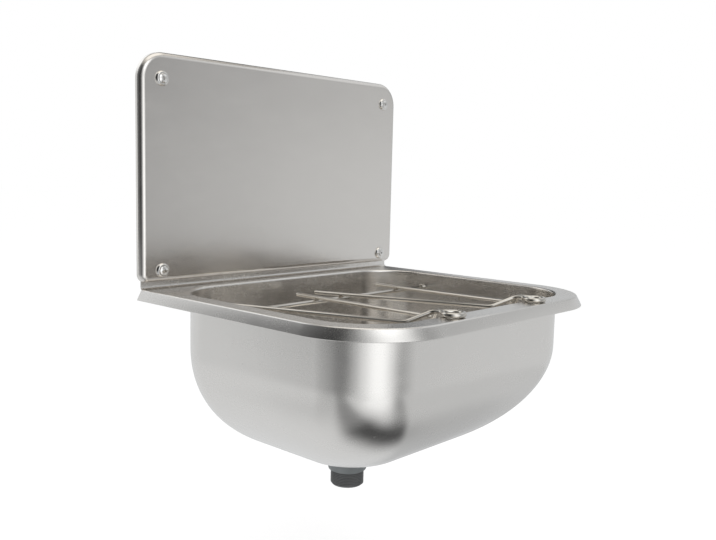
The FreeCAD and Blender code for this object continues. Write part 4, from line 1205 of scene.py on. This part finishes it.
class SLOPSINK_OT_stage(bpy.types.Operator):
    """Sets the floor, the soft light and the camera"""

    bl_idname = "slopsink.stage"
    bl_label = "Stage"

    def execute(self, context):
        settings = context.scene.slop_sink_stage
        context.scene.view_settings.view_transform = "Standard"
        self.world(context, settings)
        self.floor(settings)
        self.cards(settings)
        self.key(context, settings)
        self.camera(context, settings)
        return {"FINISHED"}

    def world(self, context, settings):
        """Soft light from all round, which shows as plain white."""
        world = bpy.data.worlds.new("Studio")
        layout = Layout(world)
        soft = layout.nodes["Background"]
        layout.feed(soft.inputs["Color"], WHITE)
        layout.feed(soft.inputs["Strength"], settings.soft_light)
        white = layout.add("ShaderNodeBackground", {"Color": WHITE, "Strength": 1.0})["Background"]
        inputs = {"Fac": layout.seen(), 1: soft.outputs["Background"], 2: white}
        mix = layout.add("ShaderNodeMixShader", inputs)["Shader"]
        layout.feed(layout.nodes["World Output"].inputs["Surface"], mix)
        context.scene.world = world

    def floor(self, settings):
        """A pale floor that shows as white but keeps the sink's shadow."""
        surface = Surface("pale_floor")
        glow = surface.math("MULTIPLY", surface.seen(), settings.floor_glow)
        material = surface.dress({"Base Color": settings.floor_colour, "Roughness": 0.9,
                                  "Specular IOR Level": 0.0, "Emission Color": WHITE,
                                  "Emission Strength": glow})
        bm = bmesh.new()
        bmesh.ops.create_circle(bm, cap_ends=True, radius=30.0, segments=64,
                                matrix=Matrix.Translation((0.0, 0.0, settings.floor_level)))
        add_object(bm, "Floor", material)

    def cards(self, settings):
        """A round card about the sink and level cards above and below it, for the steel to reflect."""
        bm = bmesh.new()
        reach = settings.card_radius
        foot = bm.verts.new((0.0, -reach, settings.floor_level))
        top = bm.verts.new((0.0, -reach, settings.card_top))
        edge = bm.edges.new((foot, top))
        bmesh.ops.spin(bm, geom=[foot, top, edge], cent=(0, 0, 0), axis=(0, 0, 1), dvec=(0, 0, 0),
                       angle=math.tau, steps=96, use_merge=True)
        face_outwards(bm)
        for face in bm.faces:
            face.smooth = True
        stage_card(bm, "RoundCard", card_material("round_card", LOW_LIGHT, HIGH_LIGHT, settings.card_light))
        level_card("CeilingCard", reach, settings.card_top, settings.ceiling_light, CEILING_LIGHT)
        level_card("FloorCard", reach, settings.floor_level + CARD_LIFT, settings.card_light, FLOOR_LIGHT)

    def key(self, context, settings):
        """A soft box from the front left, for the floor and the plastic."""
        light = bpy.data.lights.new("SoftBox", "AREA")
        light.shape = "RECTANGLE"
        light.size = 1.8
        light.size_y = 1.4
        light.energy = settings.key_power
        lamp = bpy.data.objects.new("SoftBox", light)
        context.scene.collection.objects.link(lamp)
        lamp.location = (-1.1, -1.5, 1.7)
        aim = Vector((0.0, -0.2, -0.2)) - lamp.location
        lamp.rotation_euler = aim.to_track_quat("-Z", "Y").to_euler()
        lamp.visible_camera = False
        lamp.visible_glossy = False

    def camera(self, context, settings):
        data = bpy.data.cameras.new("Camera")
        data.sensor_width = 36.0
        data.lens = settings.camera_lens
        data.clip_end = 100.0
        item = bpy.data.objects.new("Camera", data)
        context.scene.collection.objects.link(item)
        yaw = settings.camera_yaw
        pitch = settings.camera_pitch
        roll = settings.camera_roll
        ahead = Vector((-math.sin(yaw) * math.cos(pitch), math.cos(yaw) * math.cos(pitch), -math.sin(pitch)))
        right = Vector((math.cos(yaw), math.sin(yaw), 0.0))
        up = right.cross(ahead)
        rolled_right = right * math.cos(roll) + up * math.sin(roll)
        rolled_up = up * math.cos(roll) - right * math.sin(roll)
        turn = Matrix((rolled_right, rolled_up, -ahead)).transposed().to_4x4()
        item.matrix_world = Matrix.Translation(settings.camera_place) @ turn
        context.scene.camera = item


STEPS = (SLOPSINK_OT_basin, SLOPSINK_OT_splashback, SLOPSINK_OT_fixings, SLOPSINK_OT_pivots,
         SLOPSINK_OT_grate_wires, SLOPSINK_OT_strainer, SLOPSINK_OT_waste_body, SLOPSINK_OT_seals,
         SLOPSINK_OT_stage)
GROUPS = (("slop_sink_basin", BasinSizes), ("slop_sink_splashback", SplashbackSizes),
          ("slop_sink_grate", GrateSizes), ("slop_sink_waste", WasteSizes),
          ("slop_sink_finishes", Finishes), ("slop_sink_stage", StageSettings))


class SLOPSINK_PT_panel(bpy.types.Panel):
    """The sink's pieces and sizes in the sidebar"""

    bl_idname = "SLOPSINK_PT_panel"
    bl_label = "Slop Sink"
    bl_space_type = "VIEW_3D"
    bl_region_type = "UI"
    bl_category = "Slop Sink"

    def draw(self, context):
        layout = self.layout
        for step in STEPS:
            layout.operator(step.bl_idname)
        for name, group in GROUPS:
            box = layout.box()
            box.label(text=group.__doc__)
            settings = getattr(context.scene, name)
            for item in group.__annotations__:
                box.prop(settings, item)


def register():
    for name, group in GROUPS:
        bpy.utils.register_class(group)
        setattr(bpy.types.Scene, name, PointerProperty(type=group))
    for step in STEPS:
        bpy.utils.register_class(step)
    bpy.utils.register_class(SLOPSINK_PT_panel)


def unregister():
    bpy.utils.unregister_class(SLOPSINK_PT_panel)
    for step in reversed(STEPS):
        bpy.utils.unregister_class(step)
    for name, group in reversed(GROUPS):
        delattr(bpy.types.Scene, name)
        bpy.utils.unregister_class(group)


def main():
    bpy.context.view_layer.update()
    register()
    bpy.ops.slopsink.basin()
    bpy.ops.slopsink.splashback()
    bpy.ops.slopsink.fixings()
    bpy.ops.slopsink.pivots()
    bpy.ops.slopsink.grate_wires()
    bpy.ops.slopsink.strainer()
    bpy.ops.slopsink.waste_body()
    bpy.ops.slopsink.seals()
    bpy.ops.slopsink.stage()


if __name__ == "__main__":
    main()
